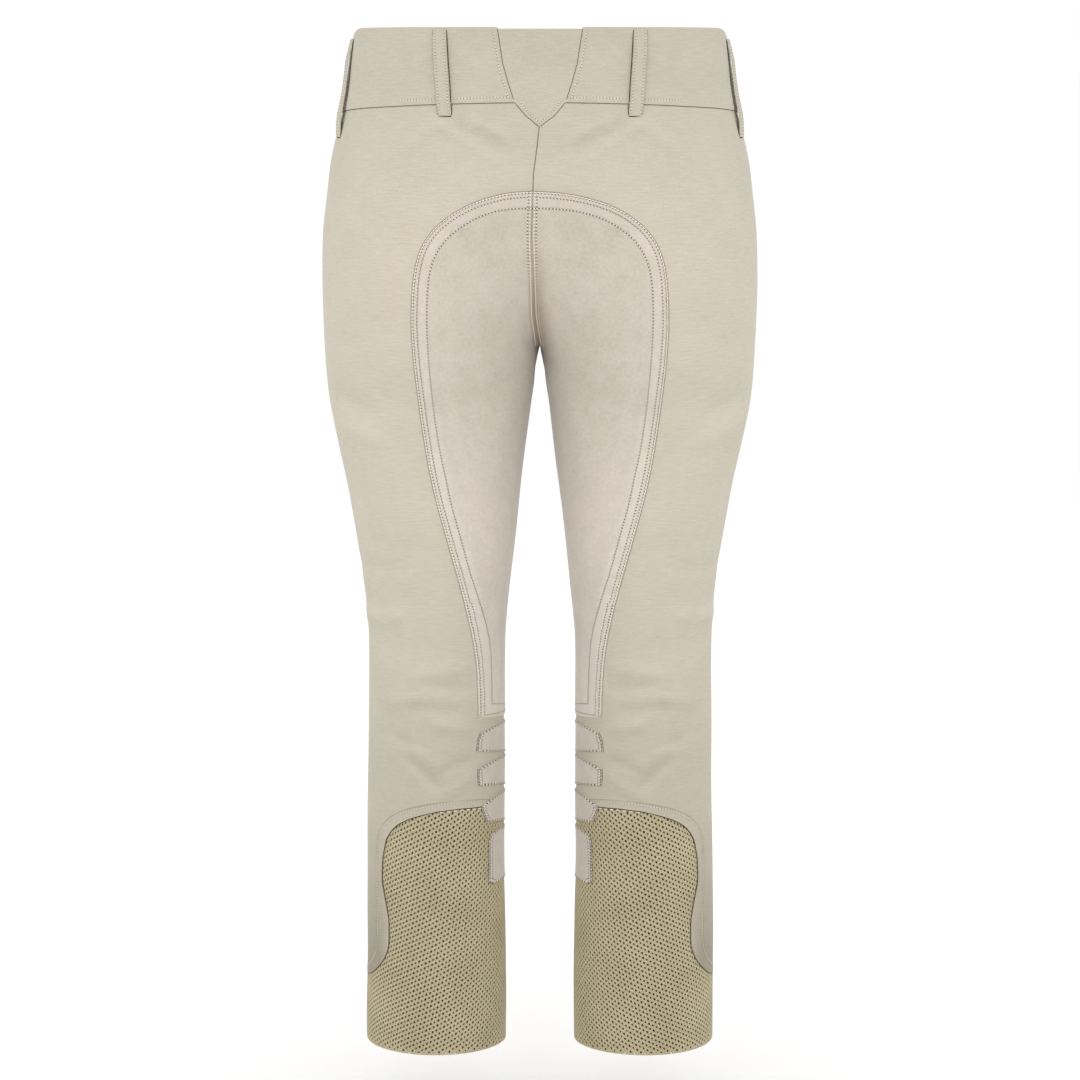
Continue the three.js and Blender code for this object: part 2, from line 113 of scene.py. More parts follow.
@dataclass(frozen=True)
class SmoothTable:
    """Rows of sizes, read as smooth curves against their first column."""

    rows: Rows

    def read(self, column: int, at: Array) -> Array:
        """Reads one column with a cubic Hermite curve whose slopes are those of the neighbours.

        Args:
            column: The column to read.
            at: Values of the first column.

        Returns:
            The column's values there.
        """
        table = np.array(sorted(self.rows), float)
        key, value = table[:, 0], table[:, column]
        at = np.clip(at, key[0], key[-1])
        before = np.r_[0, np.arange(len(key) - 1)]
        after = np.r_[np.arange(1, len(key)), len(key) - 1]
        slope = (value[after] - value[before]) / (key[after] - key[before])
        i = np.clip(np.searchsorted(key, at, side="right") - 1, 0, len(key) - 2)
        step = key[i + 1] - key[i]
        t = (at - key[i]) / step
        start = value[i] * (1 + 2 * t) * (1 - t) ** 2 + step * slope[i] * t * (1 - t) ** 2
        return start + value[i + 1] * t * t * (3 - 2 * t) - step * slope[i + 1] * t * t * (1 - t)


@dataclass(frozen=True)
class Fork:
    """How one side of the seat closes between the legs."""

    height: float
    power: float
    curve: float
    settle: float


@dataclass(frozen=True)
class Figure:
    """The smooth form that the cloth follows, the same as the CAD panels have."""

    crotch: float = -262.0
    steady: float = 6.0
    room: float = 1.3
    back_fork: Fork = Fork(262, 1.6, 45, 60)
    front_fork: Fork = Fork(185, 1.05, 30, 60)
    sections: SmoothTable = SmoothTable((
        (44, 171, 0, -94, 91), (27, 173.5, 0, -98, 94), (7, 176.5, 0, -102, 97), (-18, 180, 0, -107, 100),
        (-38, 184.3, 0, -112, 103), (-62, 190.5, 0, -118, 106), (-86, 195.8, 0, -125, 109),
        (-115, 199.5, 0, -133, 111), (-150, 203.2, 0, -141, 112), (-190, 204.2, 0, -145, 112),
        (-225, 204, 0, -141, 109), (-262, 203, 0, -131, 104), (-290, 201.5, 4.6, -121, 99),
        (-313, 199.4, 8, -113, 95), (-352, 192.2, 12.9, -103, 90), (-390, 184.1, 17.4, -95, 86),
        (-429, 177.5, 21.9, -88, 82), (-468, 171.7, 26.3, -81, 79), (-507, 167.1, 30.3, -75, 76),
        (-546, 165.6, 33.2, -70, 74), (-605, 166.1, 33.5, -66, 70), (-655, 166.5, 33.6, -70, 64),
        (-705, 167, 33.7, -75, 59), (-760, 168, 33.8, -77, 55), (-805, 168.6, 32.6, -75, 53),
        (-860, 169, 32.1, -70, 52), (-907, 169.8, 31.9, -65, 52), (-946, 170, 32.2, -62, 53),
    ))

    def arc(self, z: Array, on_back: Array) -> tuple[Array, Array, Array, Array]:
        """Centre, half width, closing angle and rounding of the back or front of a section.

        Args:
            z: Heights.
            on_back: True where the place is on the back.

        Returns:
            The centre and half width of the ellipse, the angle at which it stops, and its rounding.
        """
        side = self.sections.read(1, z)
        below = np.maximum(self.crotch - z, 0)
        inseam = np.maximum(self.sections.read(2, z), 0) + self.room * (1 - np.exp(-below / 4))
        above = np.maximum(z - self.crotch, 0)
        pick = lambda name: np.where(on_back, getattr(self.back_fork, name), getattr(self.front_fork, name))
        share = np.maximum(1 - above / pick("height"), 0) ** pick("power")
        curve = pick("curve") * above / (above + pick("settle"))
        reach = np.hypot(side, curve)
        middle = (share * reach + curve) / (1 + share)
        leg = z <= self.crotch
        centre = np.where(leg, (side + inseam) / 2, middle)
        half = np.where(leg, (side - inseam) / 2, reach - middle)
        return centre, half, np.where(leg, math.pi, np.arccos(-share)), np.where(leg, 0, curve)

    def turned(self, share: Array, most: Array) -> Array:
        """The angle turned at a share of the way from the side to the middle: pi s minus what is
        missing of a half turn times a steep power of s."""
        missing = math.pi - most
        power = np.minimum(self.steady, 0.9 * math.pi / np.maximum(missing, 0.01))
        return math.pi * share - missing * share ** power

    def point(self, u: Array, z: Array) -> Array:
        """Points of the cloth: an ellipse of the section, whose x is drawn in by the rounding.

        Args:
            u: Places round the half; below 0 they go on past the inseam.
            z: Heights.

        Returns:
            Points with a last axis of x, y and z.
        """
        u, z = np.broadcast_arrays(np.asarray(u, float), np.asarray(z, float))
        u = np.where(z > self.crotch, np.clip(u, 0, 1), u)
        on_back = u <= 0.5
        centre, half, most, curve = self.arc(z, on_back)
        turn = self.turned(np.abs(1 - 2 * u), most)
        flat = centre + half * np.cos(turn)
        back, front = self.sections.read(3, z), self.sections.read(4, z)
        depth = (front - back) / 2 * np.sin(turn)
        y = (front + back) / 2 + np.where(on_back, -depth, depth)
        return np.stack([np.sqrt(np.maximum(flat ** 2 - curve ** 2, 0)), y, z], axis=-1)

    def place_at(self, x: Array, z: Array, face: Face = Face.BACK) -> Array:
        """The place round the half that has a given x, found by halving."""
        x, z = np.broadcast_arrays(np.asarray(x, float), np.asarray(z, float))
        centre, half, most, curve = self.arc(z, np.full(x.shape, face is Face.BACK))
        wanted = np.arccos(np.clip((np.hypot(x, curve) - centre) / half, -1, 1))
        near, far = np.zeros(x.shape), np.ones(x.shape)
        for _ in range(36):
            middle = (near + far) / 2
            short = self.turned(middle, most) < wanted
            near, far = np.where(short, middle, near), np.where(short, far, middle)
        return (1 - near) / 2 if face is Face.BACK else (1 + near) / 2

    def outward(self, u: Array, z: Array) -> Array:
        """Unit normals of the cloth, the cross product of its two directions; upright at the middle."""
        u, z = np.broadcast_arrays(np.asarray(u, float), np.asarray(z, float))
        body = z > self.crotch
        start = np.where(body, np.maximum(u - 0.002, 0), u - 0.002)
        end = np.where(body, np.minimum(u + 0.002, 1), u + 0.002)
        level = self.point(end, z) - self.point(start, z)
        upright = self.point(u, z + 0.5) - self.point(u, z - 0.5)
        normal = np.cross(level, upright)
        normal[..., 0] = np.where(body & ((u <= 0) | (u >= 1)), 0, normal[..., 0])
        return normal / np.linalg.norm(normal, axis=-1, keepdims=True)


FIGURE = Figure()


def smoothstep(x: Array, start: float, end: float) -> Array:
    """A soft step, 3 t squared minus 2 t cubed, from 0 at start to 1 at end."""
    t = np.clip((x - start) / (end - start), 0, 1)
    return t * t * (3 - 2 * t)


@dataclass
class FlatCloth:
    """The cloth laid flat: a place's distance round from the outer side, from a table of summed chords."""

    u_axis: Array = field(default_factory=lambda: np.linspace(-0.12, 1, 281))
    z_axis: Array = field(default_factory=lambda: np.linspace(-960, 60, 256))
    sums: Array = field(init=False)

    def __post_init__(self) -> None:
        """Sums the chords of every row and takes off the sum at u = 0.5."""
        points = FIGURE.point(self.u_axis[None, :], self.z_axis[:, None])
        chords = np.linalg.norm(np.diff(points, axis=1), axis=-1)
        sums = np.concatenate([np.zeros((len(self.z_axis), 1)), np.cumsum(chords, axis=1)], axis=1)
        zero = np.searchsorted(self.u_axis, 0.4999)
        self.sums = sums - sums[:, zero:zero + 1]

    def round_to(self, u: Array, z: Array) -> Array:
        """Millimetres round the half from u = 0.5, read from the table on straight lines."""
        i = np.clip((z - self.z_axis[0]) / (self.z_axis[1] - self.z_axis[0]), 0, len(self.z_axis) - 1.001)
        j = np.clip((u - self.u_axis[0]) / (self.u_axis[1] - self.u_axis[0]), 0, len(self.u_axis) - 1.001)
        r, c = i.astype(int), j.astype(int)
        fi, fj = i - r, j - c
        upper = self.sums[r, c] * (1 - fj) + self.sums[r, c + 1] * fj
        lower = self.sums[r + 1, c] * (1 - fj) + self.sums[r + 1, c + 1] * fj
        return upper * (1 - fi) + lower * fi

    def gap(self, u: Array, other: Array | float, z: Array) -> Array:
        """Millimetres round the half between places and another one at the same height."""
        return np.abs(self.round_to(u, z) - self.round_to(np.broadcast_to(other, u.shape), z))

    def place(self, distance: Array, z: Array, guess: Array) -> Array:
        """The place with a given distance round, by four steps of Newton's rule from a guess."""
        u = np.array(guess, float)
        for _ in range(4):
            slope = (self.round_to(u + 0.002, z) - self.round_to(u - 0.002, z)) / 0.004
            u = u + (distance - self.round_to(u, z)) / np.maximum(slope, 20)
        return u


FLAT = FlatCloth()


def lengths(points: Array) -> Array:
    """Lengths along a line of points, from 0 at the first one."""
    return np.r_[0, np.cumsum(np.linalg.norm(np.diff(points, axis=0), axis=1))]


def round_rim(distance: Array, radius: float) -> Array:
    """A rounded rim: a quarter circle from 0 at the edge to 1 at a radius from it."""
    return np.sqrt(1 - (1 - np.clip(distance / radius, 0, 1)) ** 2)


def laid_flat(line: Array) -> Array:
    """A line of u and z in millimetres on the flat cloth."""
    return np.stack([FLAT.round_to(line[:, 0], line[:, 1]), line[:, 1]], axis=1)


def dense(points: Array, step: float) -> Array:
    """Points of a line at even distances, a whole number of steps.

    Args:
        points: The line's corners, one a row.
        step: The wanted distance.

    Returns:
        Evenly spaced points from the first corner to the last.
    """
    length = lengths(points)
    at = np.linspace(0, length[-1], max(2, int(round(length[-1] / step)) + 1))
    return np.stack([np.interp(at, length, points[:, k]) for k in range(points.shape[1])], axis=1)


def rounded(points: Rows, step: float = 4.0, passes: int = 3) -> Array:
    """A line with its corners eased: evenly spaced, then each inner point moved to its neighbours' mean."""
    line = dense(np.array(points, float), step)
    for _ in range(passes):
        line[1:-1] = (line[:-2] + 2 * line[1:-1] + line[2:]) / 4
    return line


def on_cloth(outline: Array, face: Face = Face.BACK) -> Array:
    """Turns a line of x and z into one of u and z on the back or the front."""
    return np.stack([FIGURE.place_at(outline[:, 0], outline[:, 1], face), outline[:, 1]], axis=1)


def distance_to(u: Array, z: Array, line: Array) -> Array:
    """Millimetres on the flat cloth from places to a line of u and z, the least over its segments."""
    flat = laid_flat(line)
    here = np.stack(np.broadcast_arrays(FLAT.round_to(u, z), z), axis=-1)
    best = np.full(here.shape[:-1], 1e9)
    for a, b in zip(flat[:-1], flat[1:]):
        along = b - a
        t = np.clip(((here - a) @ along) / max(along @ along, 1e-9), 0, 1)
        best = np.minimum(best, np.linalg.norm(here - a - t[..., None] * along, axis=-1))
    return best


def beside(line: Array, distance: float) -> Array:
    """A line of u and z moved sideways on the flat cloth, to the right of its direction."""
    flat = laid_flat(line)
    along = np.gradient(flat, axis=0)
    along /= np.maximum(np.linalg.norm(along, axis=1, keepdims=True), 1e-9)
    moved = flat + distance * np.stack([along[:, 1], -along[:, 0]], axis=1)
    return np.stack([FLAT.place(moved[:, 0], moved[:, 1], line[:, 0]), moved[:, 1]], axis=1)


# Outlines, as x and z on the back of the right half

SEAT_EDGE: Rows = (
    (0, -110.5), (27, -111.7), (57.7, -119.4), (80.4, -130.6), (100, -147), (110.4, -166.4), (114.6, -190),
    (116.5, -230), (114.6, -266), (110, -312), (103.8, -359), (97.1, -394), (84.8, -442), (72.6, -490),
    (64.3, -530), (60.7, -555), (58.7, -594), (58.7, -611.3),
)
SEAT_LINE: Rows = (
    (0, -125.6), (10.4, -125.1), (38, -127.5), (60, -135), (79, -147), (93, -162), (99.5, -180), (102, -205),
    (102.3, -235), (100.8, -270), (97.5, -312), (92.5, -350), (87, -376.7), (83, -400.2), (75, -430.3),
    (66.6, -466.7), (58.4, -494.8), (52.8, -516.9), (48.7, -536.2), (47.4, -563.8), (46.7, -600.8),
)
CALF_EDGE: Rows = (
    (33.9, -703), (54.9, -697.1), (75.1, -695.8), (96.5, -697.2), (113.1, -701.3), (126, -706.1),
    (136.5, -712.6), (143.1, -720), (147.9, -729.4),
)
FACING_TOP: Rows = (
    (33.9, -698), (56.1, -690.3), (75.5, -688.6), (94.4, -689.2), (109.6, -691.6), (125, -696),
    (137.7, -702.3), (147.1, -710.6), (153.5, -720.8), (156.7, -732.6),
)
FACING_SIDE: Rows = (
    (156.7, -732.6), (157.7, -747.6), (157.9, -774.2), (157.2, -796.8), (157.1, -821.8), (157.9, -837.4),
    (160.1, -846.6), (163.5, -854.5), (167.6, -862),
)
TONGUE_EDGE: Rows = (
    (147.9, -729.4), (151.6, -748.4), (152.4, -771.2), (148.6, -789.5), (145.2, -808.1), (145.5, -835),
    (150.9, -850.2), (161, -865.1), (168.4, -873.5),
)
GRIP_CORNERS: dict[int, tuple[Rows, Rows]] = {
    1: (((33.5, -625.6), (33.6, -655.6)), ((56.6, -626.9), (59.2, -634), (60.2, -644))),
    2: (((33.5, -658.6), (33.5, -687)), ((59.1, -660.7), (59.4, -668), (58.5, -677.2))),
    3: (((33.8, -692.5), (33.7, -722)), ((56, -696.5), (54, -705), (50.5, -713.6))),
    4: (((34.1, -727), (33.9, -778)), ((47.4, -727.1), (49.1, -732), (49.6, -772.2), (44.7, -776))),
}
YOKE_HALF: Rows = (
    (34.5, 38.8), (25, 37.3), (3.4, 34), (-13.9, 29.1), (-30.6, 23.6), (-43, 13.3), (-52.7, 0.6),
)
BAND_EDGES = SmoothTable((
    (0, 36, -30.6, -941.5), (0.25, 36, -32.6, -942.2), (0.4, 36, -36.4, -941.4), (0.455, 35, -39, -940.5),
    (0.5, 29.5, -41.5, -939.5), (0.56, 22, -46, -939), (0.7, 11, -55, -939.5), (1, 3, -64, -941.5),
))


# Folds

@dataclass(frozen=True)
class Crease:
    """One soft ridge or trough on the back: a bell across a line, fading towards both ends."""

    start: tuple[float, float]
    end: tuple[float, float]
    width: float
    height: float

    def at(self, x: Array, z: Array) -> Array:
        """Height of the crease: height times exp(-(off / width) squared) times a soft fade along it."""
        along = np.array(self.end) - np.array(self.start)
        length = math.hypot(*along)
        t = ((x - self.start[0]) * along[0] + (z - self.start[1]) * along[1]) / length ** 2
        off = ((x - self.start[0]) * along[1] - (z - self.start[1]) * along[0]) / length
        fade = smoothstep(t, -0.15, 0.3) * (1 - smoothstep(t, 0.7, 1.15))
        return self.height * fade * np.exp(-(off / self.width) ** 2)


SWAY = ((45, 70, 95, 150, 225, 268), (0, -2.6, -6.0, -7.6, -5.6, 0))


@dataclass(frozen=True)
class Drape:
    """Lays pieces on the cloth of one half: the form, its folds and the sway of the centre seam."""

    half: Half
    creases: tuple[Crease, ...] = (
        Crease((68, -46), (26, -64), 5, 1.5), Crease((76, -54), (30, -78), 6.5, -1.6),
        Crease((88, -48), (126, -78), 7, 1.3), Crease((100, -46), (60, -70), 6, 1.2),
        Crease((8, -236), (40, -262), 8, 1.2), Crease((6, -262), (46, -300), 8, -1.2),
        Crease((10, -290), (44, -340), 8, 1.1), Crease((4, -246), (30, -252), 6, -0.9),
        Crease((130, -646), (94, -677), 5.5, -2.3), Crease((124, -636), (84, -664), 6.5, 2.0),
        Crease((64, -622), (108, -614), 6.5, 1.9), Crease((64, -650), (98, -662), 5.5, -1.8),
        Crease((62, -666), (110, -692), 6, 1.6), Crease((146, -628), (104, -640), 6, -1.5),
        Crease((72, -604), (128, -598), 6.5, -1.5), Crease((152, -598), (104, -588), 7, 1.5),
        Crease((66, -560), (124, -570), 7, 1.5), Crease((62, -584), (112, -578), 7, -1.4),
        Crease((176, -520), (120, -508), 8, 1.5), Crease((178, -470), (116, -462), 9, -1.3),
        Crease((190, -330), (138, -344), 10, 1.2), Crease((194, -300), (150, -318), 9, -1.1),
    )

    def name(self, part: str) -> str:
        """A part's name on this half."""
        return f"{part}_{self.half.label}"

    def facing_out(self, faces: Array) -> Array:
        """Faces made for the right half, turned round where this is the mirrored left one."""
        return faces[:, ::-1] if self.half is Half.LEFT else faces

    def folds(self, u: Array, z: Array) -> Array:
        """Height of the folds in millimetres: slow waves, the creases of the back, ripples along the
        seat's outer edge, and a ridge beside a valley at the centre back."""
        u, z = np.broadcast_arrays(u, z)
        x = FIGURE.point(u, z)[..., 0]
        back = 1 - smoothstep(u, 0.46, 0.56)
        shift = 0.9 * self.half.value
        a = FLAT.round_to(u, z)
        waves = 0.35 * np.sin(a / 37 + z / 61 + shift) * np.sin(z / 83 + 1.3 * shift)
        waves += 0.22 * np.sin(a / 19 - z / 43 + 2.1 * shift) + 0.12 * np.sin(z / 17 + a / 90 + shift)
        waves *= smoothstep(-z, 30, 90)
        creases = sum(crease.at(x, z) for crease in self.creases) * back
        edge = np.interp(-z, [-p[1] for p in SEAT_EDGE], [p[0] for p in SEAT_EDGE])
        ripple = 0.42 * np.sin(z / 2.55 + x / 9 + shift) * np.exp(-((x - edge + 7) / 9) ** 2)
        ripple *= smoothstep(-z, 420, 470) * (1 - smoothstep(-z, 590, 620)) * back
        cleft = smoothstep(-z, 90, 190) * (1 - smoothstep(-z, 262, 300)) * back
        valley = -2.2 * np.exp(-(x / 10) ** 2) + 0.9 * np.exp(-((x - 16) / 11) ** 2)
        return waves + creases + ripple + cleft * valley

    def sway(self, points: Array) -> Array:
        """Moves the centre-back seam to the wearer's left: a bell of x that depends on the height."""
        shift = np.interp(-points[..., 2], *SWAY)
        behind = smoothstep(-points[..., 1], 10, 60)
        points[..., 0] += shift * behind * np.exp(-(points[..., 0] / 42) ** 2)
        return points

    def lay(self, u: Array, z: Array, lift: Array | float) -> Array:
        """Points on the cloth, moved out by a lift and the folds, on this half."""
        u, z, lift = np.broadcast_arrays(*(np.asarray(part, float) for part in (u, z, lift)))
        points = FIGURE.point(u, z) + FIGURE.outward(u, z) * (lift + self.folds(u, z))[..., None]
        points[..., 0] *= self.half.value
        return self.sway(points)


def seen(points: Array) -> tuple[Array, Array, Array]:
    """How far points lie across and up as seen from behind, as shares of their depth, and the depth."""
    pitch, forward = math.radians(CAMERA_PITCH), points[..., 1] + CAMERA_AWAY
    depth = forward * math.cos(pitch) - points[..., 2] * math.sin(pitch)
    up = forward * math.sin(pitch) + points[..., 2] * math.cos(pitch)
    return points[..., 0] / depth, up / depth, depth


# Meshes

def as_seen_level(u: Array, height: float) -> Array:
    """A line over the cloth that looks level to the camera.

    Args:
        u: Places across.
        height: Height of the first one.

    Returns:
        Places u and z.
    """
    z = np.full(len(u), float(height))
    for _ in range(6):
        _, up, depth = seen(FIGURE.point(u, z))
        z = z + (up[0] - up) * depth
    return np.stack([u, z], axis=1)


def grid_faces(rows: int, columns: int, closed: bool = False) -> Array:
    """Four-sided faces of a grid of points, row by row; closed joins the last column to the first."""
    r = np.arange(rows - 1)[:, None]
    c = np.arange(columns if closed else columns - 1)[None, :]
    nxt = (c + 1) % columns
    corners = [r * columns + c, (r + 1) * columns + c, (r + 1) * columns + nxt, r * columns + nxt]
    return np.stack(np.broadcast_arrays(*corners), axis=-1).reshape(-1, 4)


def shell(outer: Array, inner: Array, faces: Array) -> tuple[Array, Array]:
    """A closed wall: the outer faces, the inner ones turned round, and a strip round every open edge.

    Args:
        outer: Points of the outer layer, in rows or as a grid.
        inner: The same points of the inner layer.
        faces: Faces of the outer layer.

    Returns:
        All points and all faces.
    """
    outer, inner = outer.reshape(-1, 3), inner.reshape(-1, 3)
    count = len(outer)
    sides = np.concatenate([faces[:, [k, (k + 1) % 4]] for k in range(4)])
    key = np.sort(sides, axis=1)
    _, first, uses = np.unique(key[:, 0] * count + key[:, 1], return_index=True, return_counts=True)
    rim = sides[first[uses == 1]]
    strip = np.stack([rim[:, 1], rim[:, 0], rim[:, 0] + count, rim[:, 1] + count], axis=1)
    return np.concatenate([outer, inner]), np.concatenate([faces, faces[:, ::-1] + count, strip])


def make_piece(name: str, points: Array, faces: Array, finish: Material,
               replaces: tuple[str, ...] = (), uv: Array | None = None) -> Piece:
    """Makes a piece from whole arrays, without loose points, hangs it from the root body and hides the CAD
    nodes that it stands for.

    Args:
        name: The piece's name.
        points: Points in millimetres.
        faces: Faces with four corners each.
        finish: Its material.
        replaces: CAD nodes that it stands for.
        uv: Two numbers for each point, kept as its UV map.

    Returns:
        The object.
    """
    used, faces = np.unique(faces, return_inverse=True)
    faces = faces.reshape(-1, 4)
    points = points[used]
    mesh = bpy.data.meshes.new(name)
    mesh.vertices.add(len(points))
    mesh.vertices.foreach_set("co", (points * MM).astype(np.float32).ravel())
    mesh.loops.add(faces.size)
    mesh.loops.foreach_set("vertex_index", faces.ravel().astype(np.int32))
    mesh.polygons.add(len(faces))
    mesh.polygons.foreach_set("loop_start", np.arange(0, faces.size, 4, dtype=np.int32))
    mesh.polygons.foreach_set("use_smooth", np.ones(len(faces), bool))
    if uv is not None:
        layer = mesh.uv_layers.new(name="cloth")
        layer.data.foreach_set("uv", uv[used][faces.ravel()].astype(np.float32).ravel())
    mesh.update(calc_edges=True)
    mesh.validate()
    mesh.materials.append(finish)
    piece = bpy.data.objects.new(name, mesh)
    bpy.context.scene.collection.objects.link(piece)
    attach(piece, "root")
    if replaces:
        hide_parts(*replaces)
    return piece


def both_layers(across: Array, along: Array) -> Array:
    """The UV map of a closed wall: flat coordinates in metres, the same for its two layers."""
    flat = np.stack([across.ravel(), along.ravel()], axis=1) * MM
    return np.concatenate([flat, flat])


def mark(piece: Piece, name: str, values: Array) -> None:
    """Keeps one number for each point of a piece as a named attribute."""
    piece.data.attributes.new(name, "FLOAT", "POINT").data.foreach_set("value", values.astype(np.float32))


def places_of(piece: Piece) -> Array:
    """The piece's points in millimetres."""
    points = np.zeros(3 * len(piece.data.vertices), np.float32)
    piece.data.vertices.foreach_get("co", points)
    return points.reshape(-1, 3) / MM


def sharpen(piece: Piece, degrees: float = 50.0) -> None:
    """Marks edges that turn by more than an angle as sharp, so that rims stay crisp."""
    mesh = piece.data
    with bpy.context.temp_override(object=piece, active_object=piece, selected_objects=[piece]):
        mesh.set_sharp_from_angle(angle=math.radians(degrees))


def cloth_piece(name: str, drape: Drape, u: Array, z: Array, outer: Array | float, inner: Array | float,
                finish: Material, replaces: tuple[str, ...] = (),
                keep: Array | None = None, turned: bool = False) -> Piece:
    """Lays a grid of places on the cloth as a closed wall between two lifts.

    Args:
        name: The piece's name.
        drape: The half and its folds.
        u: Places round the half, a grid.
        z: Heights, a grid.
        outer: Lift of the outer layer.
        inner: Lift of the inner layer.
        finish: Its material.
        replaces: CAD nodes that it stands for.
        keep: Which cells of the grid it has.
        turned: True where u falls along the rows.

    Returns:
        The object.
    """
    faces = grid_faces(*u.shape)
    if keep is not None:
        faces = faces[keep.ravel()]
    if turned:
        faces = faces[:, ::-1]
    points, faces = shell(drape.lay(u, z, outer), drape.lay(u, z, inner), drape.facing_out(faces))
    uv = both_layers(FLAT.round_to(u, z), z)
    piece = make_piece(name, points, faces, finish, replaces, uv)
    sharpen(piece)
    return piece


def declare(piece: Piece, rests_on: list[str]) -> None:
    """Logs a piece's size as a sheet: its flat width and length are those of its grid or strip, measured on
    the made cloth, and its area is half of its closed surface.

    Args:
        piece: The sheet, with its flat coordinates in its UV map.
        rests_on: What it lies on or hangs from; not used.
    """
    mesh = piece.data
    flat = np.zeros(2 * len(mesh.loops), np.float32)
    mesh.uv_layers["cloth"].data.foreach_get("uv", flat)
    area = np.zeros(len(mesh.polygons), np.float32)
    mesh.polygons.foreach_get("area", area)
    width, length = np.ptp(flat.reshape(-1, 2), axis=0) + 0.001
    area = float(area.sum() / 2)
    length = max(length, area / width)
    LOG.info("sheet %s: %.0f x %.0f mm, area %.4f m2", piece.name, width * 1000, length * 1000, area)


# Finishes

def linear(red: float, green: float, blue: float) -> tuple[float, float, float, float]:
    """A colour given as 0 to 255 on screen, as the shader's linear numbers."""
    part = lambda c: ((c / 255 + 0.055) / 1.055) ** 2.4 if c > 10 else c / 255 / 12.92
    return part(red), part(green), part(blue), 1.0


class Weave:
    """A material under construction, with the node patterns that the finishes share."""

    def __init__(self, name: str, roughness: float, sheen: float) -> None:
        """Starts a material with a matte shader.

        Args:
            name: The material's name.
            roughness: The shader's roughness.
            sheen: The weight of its soft nap.
        """
        self.material = bpy.data.materials.new(name)
        self.material.use_nodes = True
        self.tree = self.material.node_tree
        self.shader = self.tree.nodes["Principled BSDF"]
        self.shader.inputs["Roughness"].default_value = roughness
        self.shader.inputs["Specular IOR Level"].default_value = 0.25
        self.shader.inputs["Sheen Weight"].default_value = sheen
        self.shader.inputs["Sheen Roughness"].default_value = 0.6

    def node(self, kind: str, links: dict[str, object] | None = None, **settings: object) -> bpy.types.Node:
        """Adds a node, sets its properties and links or sets its inputs."""
        made = self.tree.nodes.new(kind)
        for key, value in settings.items():
            setattr(made, key, value)
        for key, value in (links or {}).items():
            if isinstance(value, Socket):
                self.tree.links.new(value, made.inputs[key])
            else:
                made.inputs[key].default_value = value
        return made

    def cloth(self, across: float, along: float, turn: float = 0.0) -> Socket:
        """The piece's flat coordinates, stretched by two scales and turned."""
        source = self.node("ShaderNodeUVMap", uv_map="cloth")
        return self.node("ShaderNodeMapping", {
            "Vector": source.outputs["UV"], "Scale": (across, along, 1.0), "Rotation": (0, 0, turn),
        }).outputs["Vector"]

    def noise(self, vector: Socket, detail: float = 3.0) -> Socket:
        """Soft noise, one lump a unit."""
        return self.node("ShaderNodeTexNoise", {
            "Vector": vector, "Scale": 1.0, "Detail": detail, "Roughness": 0.55}).outputs["Fac"]

    def weigh(self, parts: list[tuple[Socket, float]]) -> Socket:
        """A half plus each pattern's distance from a half, times its weight."""
        total: Socket | float = 0.5 - 0.5 * sum(weight for _, weight in parts)
        for pattern, weight in parts:
            step = self.node("ShaderNodeMath", operation="MULTIPLY_ADD")
            self.tree.links.new(pattern, step.inputs[0])
            step.inputs[1].default_value = weight
            if isinstance(total, float):
                step.inputs[2].default_value = total
            else:
                self.tree.links.new(total, step.inputs[2])
            total = step.outputs[0]
        return total

    def colour(self, factor: Socket, stops: list[tuple[float, tuple]]) -> Socket:
        """Colours a pattern with a ramp."""
        made = self.node("ShaderNodeValToRGB", {"Fac": factor})
        elements = made.color_ramp.elements
        while len(elements) < len(stops):
            elements.new(0.5)
        for element, (place, tone) in zip(elements, stops):
            element.position = place
            element.color = tone
        return made.outputs["Color"]

    def attribute(self, name: str) -> Socket:
        """The number that the piece's points carry under a name."""
        return self.node("ShaderNodeAttribute", attribute_name=name).outputs["Fac"]

    def paint(self, factor: Socket, stops: list[tuple[float, tuple]],
              tint: tuple[float, float, float] | None = None) -> None:
        """Gives the shader a pattern's colours.

        Args:
            factor: The pattern.
            stops: Places and colours of its ramp.
            tint: A screen colour that multiplies them where the attribute shade is 1.
        """
        colour = self.colour(factor, stops)
        if tint is not None:
            cast = self.colour(self.attribute("shade"), [(0.0, (1, 1, 1, 1)), (1.0, linear(*tint))])
            colour = self.node("ShaderNodeMix", {0: 1.0, 6: colour, 7: cast}, data_type="RGBA",
                               blend_type="MULTIPLY").outputs[2]
        self.tree.links.new(colour, self.shader.inputs["Base Color"])

    def bump(self, height: Socket, distance: float, strength: float = 1.0) -> None:
        """Adds fine relief under the last one."""
        old = self.shader.inputs["Normal"].links
        links = {"Height": height, "Distance": distance, "Strength": strength}
        if old:
            links["Normal"] = old[0].from_socket
        made = self.node("ShaderNodeBump", links)
        self.tree.links.new(made.outputs["Normal"], self.shader.inputs["Normal"])

    def roughen(self, factor: Socket, low: float, high: float) -> None:
        """Lets a pattern move the roughness between two values."""
        span = self.node("ShaderNodeMapRange", {"Value": factor, "To Min": low, "To Max": high})
        self.tree.links.new(span.outputs["Result"], self.shader.inputs["Roughness"])


